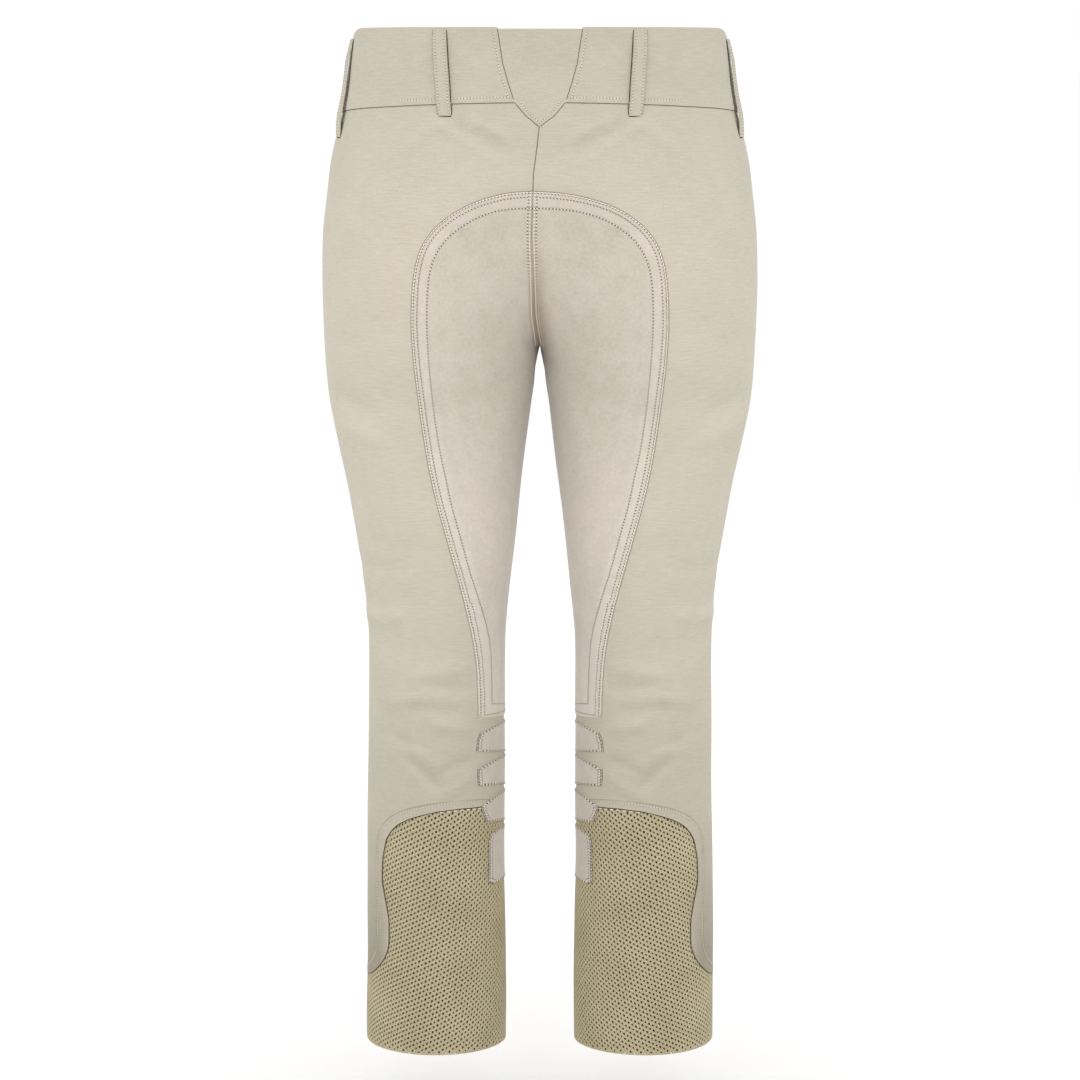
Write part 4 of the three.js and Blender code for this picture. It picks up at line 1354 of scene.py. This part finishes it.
@dataclass
class SeatPatch(Patch):
    """Half of the full seat, with a stitched border inside its outer edge."""

    border_line: Array = field(default_factory=lambda: on_cloth(rounded(SEAT_LINE, 3.0, 24)))

    @classmethod
    def make(cls, drape: Drape) -> "SeatPatch":
        """Sets out the rows: evenly along the outer edge, and down the centre back and inseam."""
        flat = rounded(SEAT_EDGE, 3.0, 24)
        outer = on_cloth(flat)
        run = lengths(flat)
        near = [0, 27, 58, 83, 109, 131, 155, 195, 231, 300]
        below = [-110.5, -119, -132, -146, -162, -179, -199, -235, -268, -336]
        depth = np.where(run < 300, np.interp(run, near, below), outer[:, 1])
        depth = depth - 8.5 * smoothstep(run, run[-1] - 60, run[-1])
        depth[np.argmin(np.abs(depth - FIGURE.crotch))] = FIGURE.crotch
        inner = np.stack([np.zeros(len(run)), depth], axis=1)
        return cls(drape, drape.name("seat_patch"), inner, outer, 56)

    def lifts(self, u: Array, z: Array) -> Array:
        """Adds the centre-back seam's groove, the border's roll and the sunk line of stitches."""
        lift = super().lifts(u, z)
        to_middle = FLAT.gap(u, 0.0, z)
        body = smoothstep(z, FIGURE.crotch - 10, FIGURE.crotch)
        lift = lift - 0.7 * body * (1 - smoothstep(to_middle, 0, 2.6))
        line = distance_to(u, z, self.border_line)
        edge = distance_to(u, z, self.outline())
        return lift - 0.25 * np.exp(-(line / 1.6) ** 2) + 0.16 * smoothstep(edge, 1, 4) * (edge < 13)

    def dress(self, piece: Piece, u: Array, z: Array) -> None:
        """Marks the cloth between the outer edge and the line of stitches, painted light that grows paler
        down the legs, and a painted brown shadow that lies in the cleft, wider on the wearer's right."""
        points = places_of(piece)
        x, height = np.abs(points[:, :1]), points[:, 2:]
        lines = (dense(np.array(rows, float), 2.0) for rows in (SEAT_EDGE, SEAT_LINE))
        to_edge, to_line = (np.hypot(x - line[:, 0], height - line[:, 1]).min(axis=1) for line in lines)
        # Painted light: paler from 280 mm down and more from 480 mm down, against the shade between the
        # legs; it goes into the same attribute as the border.
        pale = smoothstep(-points[:, 2], 280, 430) * 1.4 + smoothstep(-points[:, 2], 480, 600) * 0.5
        border = smoothstep(to_line - to_edge, -14, -11) * (to_edge < 17) * (points[:, 1] < 0)
        mark(piece, "border", border + pale)
        # Painted shadow: a brown tint in the cleft of the centre back, reaching further to the wearer's
        # right.
        off = points[:, 0] - np.interp(-points[:, 2], *SWAY)
        low = smoothstep(-points[:, 2], 140, 240) * (1 - smoothstep(-points[:, 2], 262, 292))
        reach = np.where(off > 0, 10.0, 3.0)
        mark(piece, "shade", low * (points[:, 1] < 0) * np.exp(-(off / reach) ** 2))

    def stitches(self, finishes: Finishes) -> list[Piece]:
        """Sews the edge with a zigzag and a straight line, the border with one line, the foot with one,
        and the centre back with a line on each side of the seam, marks the seams with dark lines of painted
        shadow, and the needle holes beside the zigzag with dark dots of painted shade."""
        half = self.drape.half.label
        outline, low = self.outer, self.inner[-1, 1]
        straight = Stitching(pitch=3.1, length=3.05, width=1.2)
        upper = outline[outline[:, 1] > -500]
        lower = outline[outline[:, 1] < -497]
        zigzag = Stitching(pitch=1.55, length=4.4, width=0.6, lean=70)
        holes = Stitching(pitch=3.1, length=1.3, width=1.1, height=0.25)
        bright = Stitching(pitch=3.1, length=2.5, width=0.95)
        strokes = Stitching(pitch=2.9, length=6.0, width=1.3, lean=88)
        z = np.linspace(-112, -258, 60)
        centre = lambda gap: np.stack([FIGURE.place_at(np.full(60, gap), z), z], axis=1)
        last = self.border_line[-1]
        level = as_seen_level(np.linspace(last[0], WRAP_U * 0.9, 30), last[1])
        foot = np.stack([np.linspace(WRAP_U * 0.9, self.outer[-1, 0], 30),
                         np.linspace(low + 2, self.outer[-1, 1] + 2, 30)], axis=1)
        top = self.lift
        lay = lambda kind, line, lift: kind.run(self.drape, line, lift)
        seams = [lay(SEAM_SHADOW_LINE, beside(outline, -0.5), 0.0)]
        if self.drape.half is Half.RIGHT:
            seams.append(lay(SEAM_SHADOW_LINE, centre(0.05), top - 0.5))
        return [
            sew(f"seat_stitches_{half}", [
                lay(zigzag, beside(upper, 3.4), top + 0.2), lay(strokes, beside(lower, 4.4), top + 0.2),
                lay(straight, centre(4.0), top + 0.12), lay(straight, foot, top + 0.1),
            ], finishes.thread),
            sew(f"seat_bright_stitches_{half}", [
                lay(bright, beside(outline, 0.9), top), lay(bright, centre(2.0), top + 0.05),
            ], finishes.bright_thread),
            # Dark dots of painted shade where the needle holes lie beside the zigzag.
            sew(f"seat_needle_holes_{half}", [
                lay(holes, beside(upper, 5.5), top + 0.12),
            ], finishes.soft_seam),
            sew(f"seat_border_stitches_{half}", [
                lay(straight, self.border_line, top + 0.02), lay(straight, level, top + 0.05),
            ], finishes.border_thread),
            sew(f"seat_creases_{half}", seams, finishes.soft_seam),
        ]


@dataclass
class CalfGrips:
    """The four suede-like grips down the inside of one calf."""

    drape: Drape

    def patch(self, number: int) -> Patch:
        """Sets out one grip between its inner side, past the inseam, and its outer side."""
        near, far = GRIP_CORNERS[number]
        outer = on_cloth(dense(np.array(far, float), 1.6))
        t = np.linspace(0, 1, len(outer))
        inner = np.stack([np.zeros(len(t)), near[0][1] + (near[1][1] - near[0][1]) * t], axis=1)
        name = self.drape.name(f"grip_patch_{number}")
        return Patch(self.drape, name, inner, outer, 12, lift=0.85, straight=True)

    def build(self, finishes: Finishes) -> list[Piece]:
        name = self.drape.name
        return [self.patch(number).build(finishes, name(f"grip_{number}"), name("panel_back"))
                for number in GRIP_CORNERS]

    def stitches(self, finishes: Finishes) -> list[Piece]:
        """Sews each grip: dashes along its upper and lower edges and broad satin strokes up its outer
        side, with a dark line of painted shadow beside them."""
        dashes, lines = [], []
        dash = Stitching(pitch=4.8, length=4.7, width=1.6)
        satin = Stitching(pitch=2.9, length=4.3, width=1.6, lean=87)
        for number in GRIP_CORNERS:
            patch = self.patch(number)
            u, z, _ = patch.grid()
            for row, inward in ((0, -1.0), (-1, 1.0)):
                edge = np.stack([u[row], z[row] + inward], axis=1)
                edge[-1, 0] -= 0.006
                dashes.append(dash.run(self.drape, edge, patch.lift + 0.08))
            dashes.append(satin.run(self.drape, beside(patch.outer, 2.4), patch.lift + 0.1))
            lines.append(SEAM_SHADOW_LINE.run(self.drape, beside(patch.outer, -0.4), 0.05))
        half = self.drape.half.label
        return [sew(f"grip_stitches_{half}", dashes, finishes.dull_thread),
                sew(f"grip_creases_{half}", lines, finishes.seam)]


@dataclass
class Waistband:
    """The waistband over the back or the front of one half."""

    drape: Drape
    face: Face
    columns: int = 84
    rows: int = 26

    def end(self, z: Array) -> Array:
        """Where the band ends at the middle: along the yoke at the back, at the centre front."""
        if self.face is Face.FRONT:
            return np.ones(z.shape)
        half = np.interp(-z, [-row[0] for row in YOKE_HALF], [row[1] for row in YOKE_HALF])
        return FIGURE.place_at(half, z)

    def grid(self) -> tuple[Array, Array]:
        """Rows between the two edges of the band, and columns from its end to the side seam."""
        t = np.linspace(0, 1, self.rows + 1)[:, None]
        w = np.linspace(0, 1, self.columns + 1)[None, :]
        guess = self.end(np.full((1, 1), 0.0)) * (1 - w) + SIDE_SEAM * w
        z = BAND_EDGES.read(1, guess) * (1 - t) + BAND_EDGES.read(2, guess) * t
        return self.end(z) * (1 - w) + SIDE_SEAM * w, z

    def build(self, finishes: Finishes) -> Piece:
        """Makes the band: rounded edges, sunk lines of stitches, and a thin lower part over the panel."""
        u, z = self.grid()
        top, bottom = BAND_EDGES.read(1, u), BAND_EDGES.read(2, u)
        up, down = np.maximum(top - z, 0), np.maximum(z - bottom, 0)
        near, side = FLAT.gap(u, self.end(z), z), FLAT.gap(u, SIDE_SEAM, z)
        rim = np.minimum(np.minimum(up, down), np.minimum(near, side + 0.4))
        lift = BAND_PROUD - 0.75 * (1 - round_rim(rim, 1.6))
        for line in (down - 4.2, near - 4.4):
            lift = lift - 0.3 * np.exp(-(line / 1.2) ** 2)
        inner = -1.8 + 1.95 * (1 - smoothstep(down, 8, 12))
        name = self.drape.name(self.face.value)
        piece = cloth_piece(f"waistband_{name}", self.drape, u, z, lift, inner, finishes.twill,
                            (f"band_{name}",), turned=self.face is Face.FRONT)
        declare(piece, [f"panel_{name}"])
        return piece

    def stitches(self, finishes: Finishes) -> list[Piece]:
        """Sews one line above the lower edge and one along the end, and marks both edges with a dark line of
        painted shadow.
        """
        w = np.linspace(0.0, 0.995, 120)
        guess = self.end(np.zeros(1)) * (1 - w) + SIDE_SEAM * w

        def along(rise: float) -> Array:
            """A line beside the lower edge."""
            z = BAND_EDGES.read(2, guess) + rise
            return np.stack([self.end(z) * (1 - w) + SIDE_SEAM * w, z], axis=1)

        def upright(aside: float) -> Array:
            """A line beside the end."""
            high, low = (BAND_EDGES.read(column, guess[:1])[0] for column in (1, 2))
            z = np.linspace(high - 2, low + 3, 40)
            return np.stack([self.end(z) + self.face.outward * aside, z], axis=1)

        name = self.drape.name(self.face.value)
        thread = Stitching()
        return [
            sew(f"waistband_stitches_{name}", [
                thread.run(self.drape, along(4.2)[2:], 0.98),
                thread.run(self.drape, upright(0.0125), 0.98),
            ], finishes.pale_thread),
            sew(f"waistband_creases_{name}", [
                SEAM_SHADOW_LINE.run(self.drape, along(-0.4), 0.1),
                SEAM_SHADOW_LINE.run(self.drape, upright(-0.0012), 0.55),
            ], finishes.seam),
        ]


@dataclass
class BackYoke:
    """The yoke between the two back bands, ending in a point over the centre-back seam."""

    rows: int = 60
    columns: int = 44
    lift: float = 0.55

    def half_width(self, z: Array) -> Array:
        """Half width at a height; beside the bands it reaches four millimetres on under them."""
        half = np.interp(-z, [-row[0] for row in YOKE_HALF], [row[1] for row in YOKE_HALF])
        return half + 4 * smoothstep(z, -33, -28)

    def build(self, finishes: Finishes) -> Piece:
        """Makes the yoke as a sheet over x and z, and leaves its middle bare."""
        z = np.linspace(YOKE_HALF[0][0], YOKE_HALF[-1][0], self.rows)[:, None]
        x = self.half_width(z) * np.linspace(-1, 1, self.columns + 1)[None, :]
        z = np.broadcast_to(z, x.shape)
        tip = np.clip((self.half_width(z) - np.abs(x)) * 0.78 / 1.2, 0, 1)
        top = np.clip((YOKE_HALF[0][0] - z) / 1.4, 0, 1)
        lift = self.lift - 0.4 * (1 - np.minimum(np.where(z < -30, tip, 1), 0.3 + 0.7 * top))
        inner = np.where(z > -24, -1.5, 0.1) + 0 * x
        points, faces = shell(across_back(x, z, lift), across_back(x, z, inner), grid_faces(*x.shape))
        piece = make_piece("yoke_panel", points, faces, finishes.twill, ("yoke_back",),
                           both_layers(x, z))
        sharpen(piece)
        declare(piece, ["waistband_back_right", "waistband_back_left"])
        return piece

    def stitches(self, drapes: dict[Half, Drape], finishes: Finishes) -> list[Piece]:
        """Sews the point with one line inside its edge, and marks the edge and the centre-back seam with
        dark lines of painted shadow.
        """
        runs, lines = [], []
        point = np.array([row for row in YOKE_HALF if row[0] < -28])
        fine = Stitching(pitch=2.6, length=2.5)
        kinds = ((1.4, 1.2, SEAM_SHADOW_LINE, -0.35, lines), (5.2, 0.0, fine, 0.0, runs))
        for drape in drapes.values():
            for inward, back, kind, rise, wall in kinds:
                z = np.linspace(point[0, 0], point[-1, 0] + inward * 0.5, 30)
                half = np.maximum(np.interp(-z, -point[:, 0], point[:, 1]) - inward + back, 0.6)
                line = np.stack([FIGURE.place_at(half, z), z], axis=1)
                wall.append(kind.run(drape, line, self.lift + rise))
        z = np.linspace(YOKE_HALF[-1][0], -112, 40)
        centre = np.stack([FIGURE.place_at(np.full(40, 0.05), z), z], axis=1)
        lines.append(SEAM_SHADOW_LINE.run(drapes[Half.RIGHT], centre, -0.35))
        return [sew("yoke_stitches", runs, finishes.pale_thread),
                sew("yoke_creases", lines, finishes.seam)]


def across_back(x: Array, z: Array, lift: Array, face: Face = Face.BACK) -> Array:
    """Points over x and z on both sides of the middle, moved out by a lift, without folds."""
    u = FIGURE.place_at(np.abs(x), z, face)
    normal = FIGURE.outward(u, z)
    normal[..., 0] = np.where(np.abs(x) < 0.5, 0, normal[..., 0])
    points = FIGURE.point(u, z) + normal * np.asarray(lift)[..., None]
    points[..., 0] *= np.where(x < 0, -1, 1)
    return points


@dataclass
class BeltLoop:
    """A belt loop: a folded strip that stands off the band between its two sewn ends."""

    drape: Drape
    name: str
    face: Face
    top: tuple[float, float]
    bottom: tuple[float, float]
    width: float = 13.0
    stand_off: float = 2.4
    thick: float = 1.5
    rows: int = 48
    columns: int = 14

    def places(self, t: Array) -> tuple[Array, Array]:
        """Places on the cloth under the loop's middle."""
        u0, u1 = (FIGURE.place_at(np.array(x), z, self.face) for x, z in (self.top, self.bottom))
        return u0 + (u1 - u0) * t, self.top[1] + (self.bottom[1] - self.top[1]) * t

    def frame_lines(self, t: Array) -> tuple[Array, Array, Array]:
        """Middle points, outward and sideways directions along the loop.

        The strip goes straight from the upper place to the lower one, bows out by a clipped half sine,
        and comes down off the band over its last fifth.
        """
        u, z = self.places(t)
        bow = 0.25 + (self.stand_off - 0.25) * np.minimum(1, 1.5 * np.sin(math.pi * t))
        off_band = smoothstep(t, 0.8, 1.0)
        normal = FIGURE.outward(u, z)
        middle = FIGURE.point(u, z) + normal * (BAND_PROUD * (1 - off_band) + bow)[..., None]
        sideways = np.cross(normal, [0, 0, 1.0])
        return middle, normal, sideways / np.linalg.norm(sideways, axis=-1, keepdims=True)

    def build(self, finishes: Finishes) -> Piece:
        """Makes the strip with rounded long edges, eased corners and two sunk lines of stitches."""
        t = np.linspace(0, 1, self.rows)
        middle, normal, sideways = self.frame_lines(t)
        s = np.linspace(-1, 1, self.columns + 1)
        ease = np.minimum(t, 1 - t)[:, None] * 76
        half = self.width / 2 - 1.4 * (1 - round_rim(ease, 2.2))
        in_from_edge = (1 - np.abs(s)) * self.width / 2
        lift = self.thick * (0.35 + 0.65 * round_rim(in_from_edge, 1.1)[None, :]) * np.ones_like(ease)
        lift = lift - 0.25 * np.exp(-((in_from_edge - 2.3) / 0.8) ** 2)[None, :]
        flat_strip = middle[:, None] + sideways[:, None] * (s * half)[..., None]
        mirror = [self.drape.half.value, 1, 1]
        lay = lambda height: ((flat_strip + normal[:, None] * height[..., None]) * mirror)[:, ::-1]
        faces = self.drape.facing_out(grid_faces(self.rows, self.columns + 1))
        points, faces = shell(lay(lift), lay(0 * lift), faces[:, ::-1])
        across, along = np.broadcast_arrays(s[None, :] * 7, (1 - t[:, None]) * 78)
        name = self.drape.name(self.name)
        piece = make_piece(f"belt_{name}", points, faces, finishes.twill, (name,),
                           both_layers(across, along))
        sharpen(piece)
        declare(piece, [self.drape.name(f"waistband_{self.face.value}")])
        return piece

    def stitches(self, finishes: Finishes) -> list[Piece]:
        """Sews a line inside each long edge, and marks where the edges shade the band."""
        t = np.linspace(0.02, 0.98, 90)
        middle, normal, sideways = self.frame_lines(t)
        mirror = np.array([self.drape.half.value, 1, 1])
        band = FIGURE.point(*self.places(t)) + normal * np.where(t < 0.84, BAND_PROUD, 0.15)[:, None]
        thread = Stitching(pitch=3.0, length=2.9, width=0.9)
        runs, lines = [], []
        for side in (-1, 1):
            aside = sideways * side
            inside = middle + aside * (self.width / 2 - 2.0) + normal * (self.thick - 0.1)
            beside_it = band + aside * (self.width / 2 + 0.2)
            runs.append(thread.trail(inside * mirror, normal * mirror))
            lines.append(SEAM_SHADOW_LINE.trail(beside_it * mirror, normal * mirror))
        across = np.linspace(-1, 1, 24)[:, None] * (self.width / 2 - 0.6)
        end = FIGURE.point(*self.places(np.full(24, 1.006)))
        foot = (end + normal[-1:] * 0.2 + sideways[-1:] * across) * mirror
        lines.append(SEAM_SHADOW_LINE.trail(foot, np.broadcast_to(normal[-1:] * mirror, (24, 3))))
        # The dark lines are painted shadow of the loop's edges on the band and under its foot.
        name = self.drape.name(self.name)
        return [sew(f"{name}_stitches", runs, finishes.pale_thread),
                sew(f"{name}_creases", lines, finishes.deep_seam)]


@dataclass
class FlyPlacket:
    """The placket beside the centre front on the wearer's left, with a curved foot."""

    drape: Drape
    width: float = 38.0
    top: float = -64.8
    bottom: float = -196.0
    curve: float = 30.0
    lift: float = 1.2

    def reach(self, z: Array) -> Array:
        """Half width at a height: full, then a quarter ellipse round the foot."""
        low = np.clip((self.bottom + self.curve - z) / self.curve, 0, 1)
        return 0.4 + (self.width - 0.4) * np.sqrt(1 - low ** 2)

    def build(self, finishes: Finishes) -> list[Piece]:
        """Makes the placket and its curved line of stitches."""
        turn = np.linspace(0, math.pi / 2, 16)[1:]
        bend = self.bottom + self.curve
        foot = bend - self.curve * np.sin(turn)
        z = np.r_[np.linspace(self.top, bend, 40), foot][:, None]
        x = self.reach(z) * np.linspace(0, 1, 20)[None, :]
        z = np.broadcast_to(z, x.shape)
        u = FIGURE.place_at(x, z, Face.FRONT)
        rim = np.minimum(np.minimum(self.reach(z) - x, z - self.bottom + 0.2), x + 0.3)
        lift = 0.2 + (self.lift - 0.2) * round_rim(rim, 1.2)
        panel = cloth_piece("fly_placket_panel", self.drape, u, z, lift, 0.08, finishes.twill,
                            ("fly_placket",), turned=True)
        declare(panel, ["panel_front_left"])
        z = np.r_[np.linspace(self.top - 1, bend, 50), foot]
        runs = []
        for inward in (3.0, 7.0):
            x = np.maximum(self.reach(z) - inward, 0.8)
            line = np.stack([x, z + inward * 0.6 * (z < -170)], axis=1)
            runs.append(Stitching().run(self.drape, on_cloth(line, Face.FRONT), self.lift - 0.05))
        return [panel, sew("fly_placket_stitches", runs, finishes.pale_thread)]


@dataclass
class FrontClosure:
    """The lapped end of the band over the centre front, and its button."""

    reach: float = 24.0
    button_z: float = -28.0
    button_radius: float = 8.5

    def build(self, drapes: dict[Half, Drape], finishes: Finishes) -> list[Piece]:
        """Makes the tab, its stitches, the button and the thread across it."""
        t = np.linspace(0, 1, 28)[:, None]
        x = np.linspace(self.reach, -self.reach, 30)[None, :]
        low, high = (BAND_EDGES.read(column, np.ones(1))[0] for column in (2, 1))
        low, high = low + 1.5, high - 0.5
        x, z = np.broadcast_arrays(x, high + (low - high) * t)
        rim = np.minimum(np.minimum(high - z, z - low), np.minimum(self.reach - x, self.reach + x))
        lift = BAND_PROUD + 0.35 + 1.5 * round_rim(rim, 1.4)
        lift = lift - 0.25 * np.exp(-((rim - 3.4) / 1.1) ** 2)
        inner = np.full(x.shape, BAND_PROUD + 0.1)
        outer, inner = (across_back(x, z, height, Face.FRONT) for height in (lift, inner))
        points, faces = shell(outer, inner, grid_faces(*x.shape))
        tab = make_piece("band_end_tab", points, faces, finishes.twill, ("band_tab",),
                         both_layers(x, z))
        sharpen(tab)
        declare(tab, ["waistband_front_right", "waistband_front_left"])
        side, upper, lower = self.reach - 3.4, high - 3.4, low + 3.4
        line = dense(np.array([(0.4, upper), (side, upper), (side, lower), (0.4, lower)]), 2.0)
        runs = [Stitching().run(drape, on_cloth(line, Face.FRONT), BAND_PROUD + 1.72)
                for drape in drapes.values()]
        return [tab, sew("band_end_stitches", runs, finishes.pale_thread), *self.button(finishes)]

    def button(self, finishes: Finishes) -> list[Piece]:
        """Makes the button: a turned profile with a raised rim and a hollow middle, and its thread.

        The profile is radius against height, carried round an axis that stands out from the tab.
        """
        radius = self.button_radius
        profile = np.array([
            (0.05, 0.0), (radius - 1.2, 0.0), (radius - 0.3, 0.4), (radius, 1.3), (radius - 0.35, 2.4),
            (radius - 1.2, 2.95), (radius - 2.2, 2.75), (radius - 3.1, 2.1), (3.0, 1.8), (0.05, 1.75),
        ])
        turn = np.linspace(0, 2 * math.pi, 48, endpoint=False)
        u = np.ones(1)
        out = FIGURE.outward(u, np.full(1, self.button_z))[0]
        up = np.cross(out, [1.0, 0, 0])
        centre = FIGURE.point(u, np.full(1, self.button_z))[0] + out * (BAND_PROUD + 2.1)
        spoke = np.cos(turn)[:, None] * np.array([1.0, 0, 0]) + np.sin(turn)[:, None] * up
        points = centre + profile[:, None, :1] * spoke + profile[:, None, 1:] * out
        faces = grid_faces(len(profile), len(turn), closed=True)[:, ::-1]
        button = make_piece("front_button", points.reshape(-1, 3), faces, finishes.horn,
                            ("band_button",))
        button.data.shade_smooth()
        shape, thread_faces, share = Stitching().spindle()
        shape = shape * np.array([3.6, 0.9, 0.9])
        bars = []
        for angle in (0.0, math.pi / 2):
            along = np.array([1.0, 0, 0]) * math.cos(angle) + up * math.sin(angle)
            across = np.cross(out, along)
            bars.append(centre + out * 2.0 + shape @ np.stack([along, across, out]))
        points = np.concatenate(bars)
        faces = np.concatenate([thread_faces, thread_faces + len(shape)])
        thread = make_piece("button_thread", points, faces, finishes.dull_thread,
                            uv=np.stack([np.tile(share, 2), np.zeros(len(points))], axis=1))
        return [button, thread]


# Studio

@dataclass(frozen=True)
class Studio:
    """The pale floor, the soft lights and the camera."""

    distance: float = CAMERA_AWAY * MM
    pitch: float = CAMERA_PITCH
    lens: float = 100.0
    floor_height: float = -1.02

    def build(self) -> None:
        """Makes the stage, the lights, the world and the camera."""
        self.camera()
        self.floor()
        self.light("key", (-0.56, -1.58, 0.54), (-0.29, 0, -0.32), 0.51, 0.37, 25.5)
        self.light("fill", (0.56, -1.58, 0.54), (0.29, 0, -0.32), 0.51, 0.34, 25.5)
        self.light("behind", (0.0, 2.6, 1.8), (0, 0, -0.45), 2.4, 12, 180)
        world = bpy.data.worlds.new("studio")
        world.use_nodes = True
        world.node_tree.nodes["Background"].inputs["Color"].default_value = (1, 1, 1, 1)
        world.node_tree.nodes["Background"].inputs["Strength"].default_value = 1.0
        bpy.context.scene.world = world
        bpy.context.scene.view_settings.view_transform = "Standard"

    def camera(self) -> None:
        """Sets the camera level with the waistband, looking slightly down at the back."""
        data = bpy.data.cameras.new("camera")
        data.sensor_width = 36.0
        data.lens = self.lens
        camera = bpy.data.objects.new("camera", data)
        camera.location = (0, -self.distance, 0)
        camera.rotation_euler = (math.radians(90 - self.pitch), 0, 0)
        bpy.context.scene.collection.objects.link(camera)
        bpy.context.scene.camera = camera

    def floor(self) -> None:
        """Lays a plain pale floor below the hems."""
        mesh = bpy.data.meshes.new("floor")
        size = 600.0
        corners = [(-size, -size, 0), (size, -size, 0), (size, size, 0), (-size, size, 0)]
        mesh.from_pydata(corners, [], [(0, 1, 2, 3)])
        mesh.transform(Matrix.Translation((0, 0, self.floor_height)))
        material = bpy.data.materials.new("pale_floor")
        material.use_nodes = True
        shader = material.node_tree.nodes["Principled BSDF"]
        shader.inputs["Base Color"].default_value = (1, 1, 1, 1)
        shader.inputs["Roughness"].default_value = 1.0
        shader.inputs["Specular IOR Level"].default_value = 0.0
        mesh.materials.append(material)
        floor = bpy.data.objects.new("floor", mesh)
        bpy.context.scene.collection.objects.link(floor)
        floor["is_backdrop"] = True

    def light(self, name: str, place: tuple[float, float, float], target: tuple[float, float, float],
              size: float, power: float, spread: float) -> None:
        """Hangs a square soft light.

        Args:
            name: The light's name.
            place: Its middle in metres.
            target: The point that it looks at.
            size: Its side in metres.
            power: Its power in watts.
            spread: The angle of its beam in degrees.
        """
        data = bpy.data.lights.new(name, "AREA")
        data.size = size
        data.energy = power
        data.spread = math.radians(spread)
        lamp = bpy.data.objects.new(name, data)
        lamp.location = place
        lamp.rotation_euler = (Vector(target) - Vector(place)).to_track_quat("-Z", "Y").to_euler()
        bpy.context.scene.collection.objects.link(lamp)


@dataclass
class Breeches:
    """The whole garment, made half by half."""

    finishes: Finishes = field(default_factory=Finishes)
    drapes: dict[Half, Drape] = field(default_factory=lambda: {half: Drape(half) for half in Half})

    def build(self) -> None:
        """Makes every piece in order and reports each one."""
        done = self.finishes
        for half, drape in self.drapes.items():
            for face in Face:
                band = Waistband(drape, face)
                self.report(band.build(done), *band.stitches(done))
                panel = LegPanel(drape, face, *((84, 196, 44) if face is Face.BACK else (64, 150, 36)))
                self.report(panel.build(done), *panel.stitches(done))
            tube = CalfTube(drape)
            self.report(tube.build(done), tube.lining(done))
            seat = SeatPatch.make(drape)
            self.report(seat.build(done, drape.name("seat"), drape.name("panel_back")), *seat.stitches(done))
            grips = CalfGrips(drape)
            self.report(*grips.build(done), *grips.stitches(done))
            for name, face, top, bottom in (("loop_back", Face.BACK, (90.7, 34), (86.2, -43.5)),
                                            ("loop_side", Face.BACK, (173, 26), (187, -64)),
                                            ("loop_front", Face.FRONT, (86, 8), (90, -68))):
                loop = BeltLoop(drape, name, face, top, bottom)
                self.report(loop.build(done), *loop.stitches(done))
        yoke = BackYoke()
        self.report(yoke.build(done), *yoke.stitches(self.drapes, done))
        self.report(*FlyPlacket(self.drapes[Half.LEFT]).build(done))
        self.report(*FrontClosure().build(self.drapes, done))

    def report(self, *pieces: Piece) -> None:
        """Reports pieces with their number of triangles."""
        for piece in pieces:
            LOG.info("%s: %d triangles", piece.name, sum(len(p.vertices) - 2 for p in piece.data.polygons))


def main() -> None:
    """Builds the studio and the garment."""
    logging.basicConfig(level=logging.INFO, format="%(name)s %(message)s")
    Studio().build()
    Breeches().build()
    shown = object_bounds()
    sizes = {"cad": [list(corner) for corner in CAD_BOX], "visual": [list(corner) for corner in shown]}


if __name__ == "__main__":
    main()
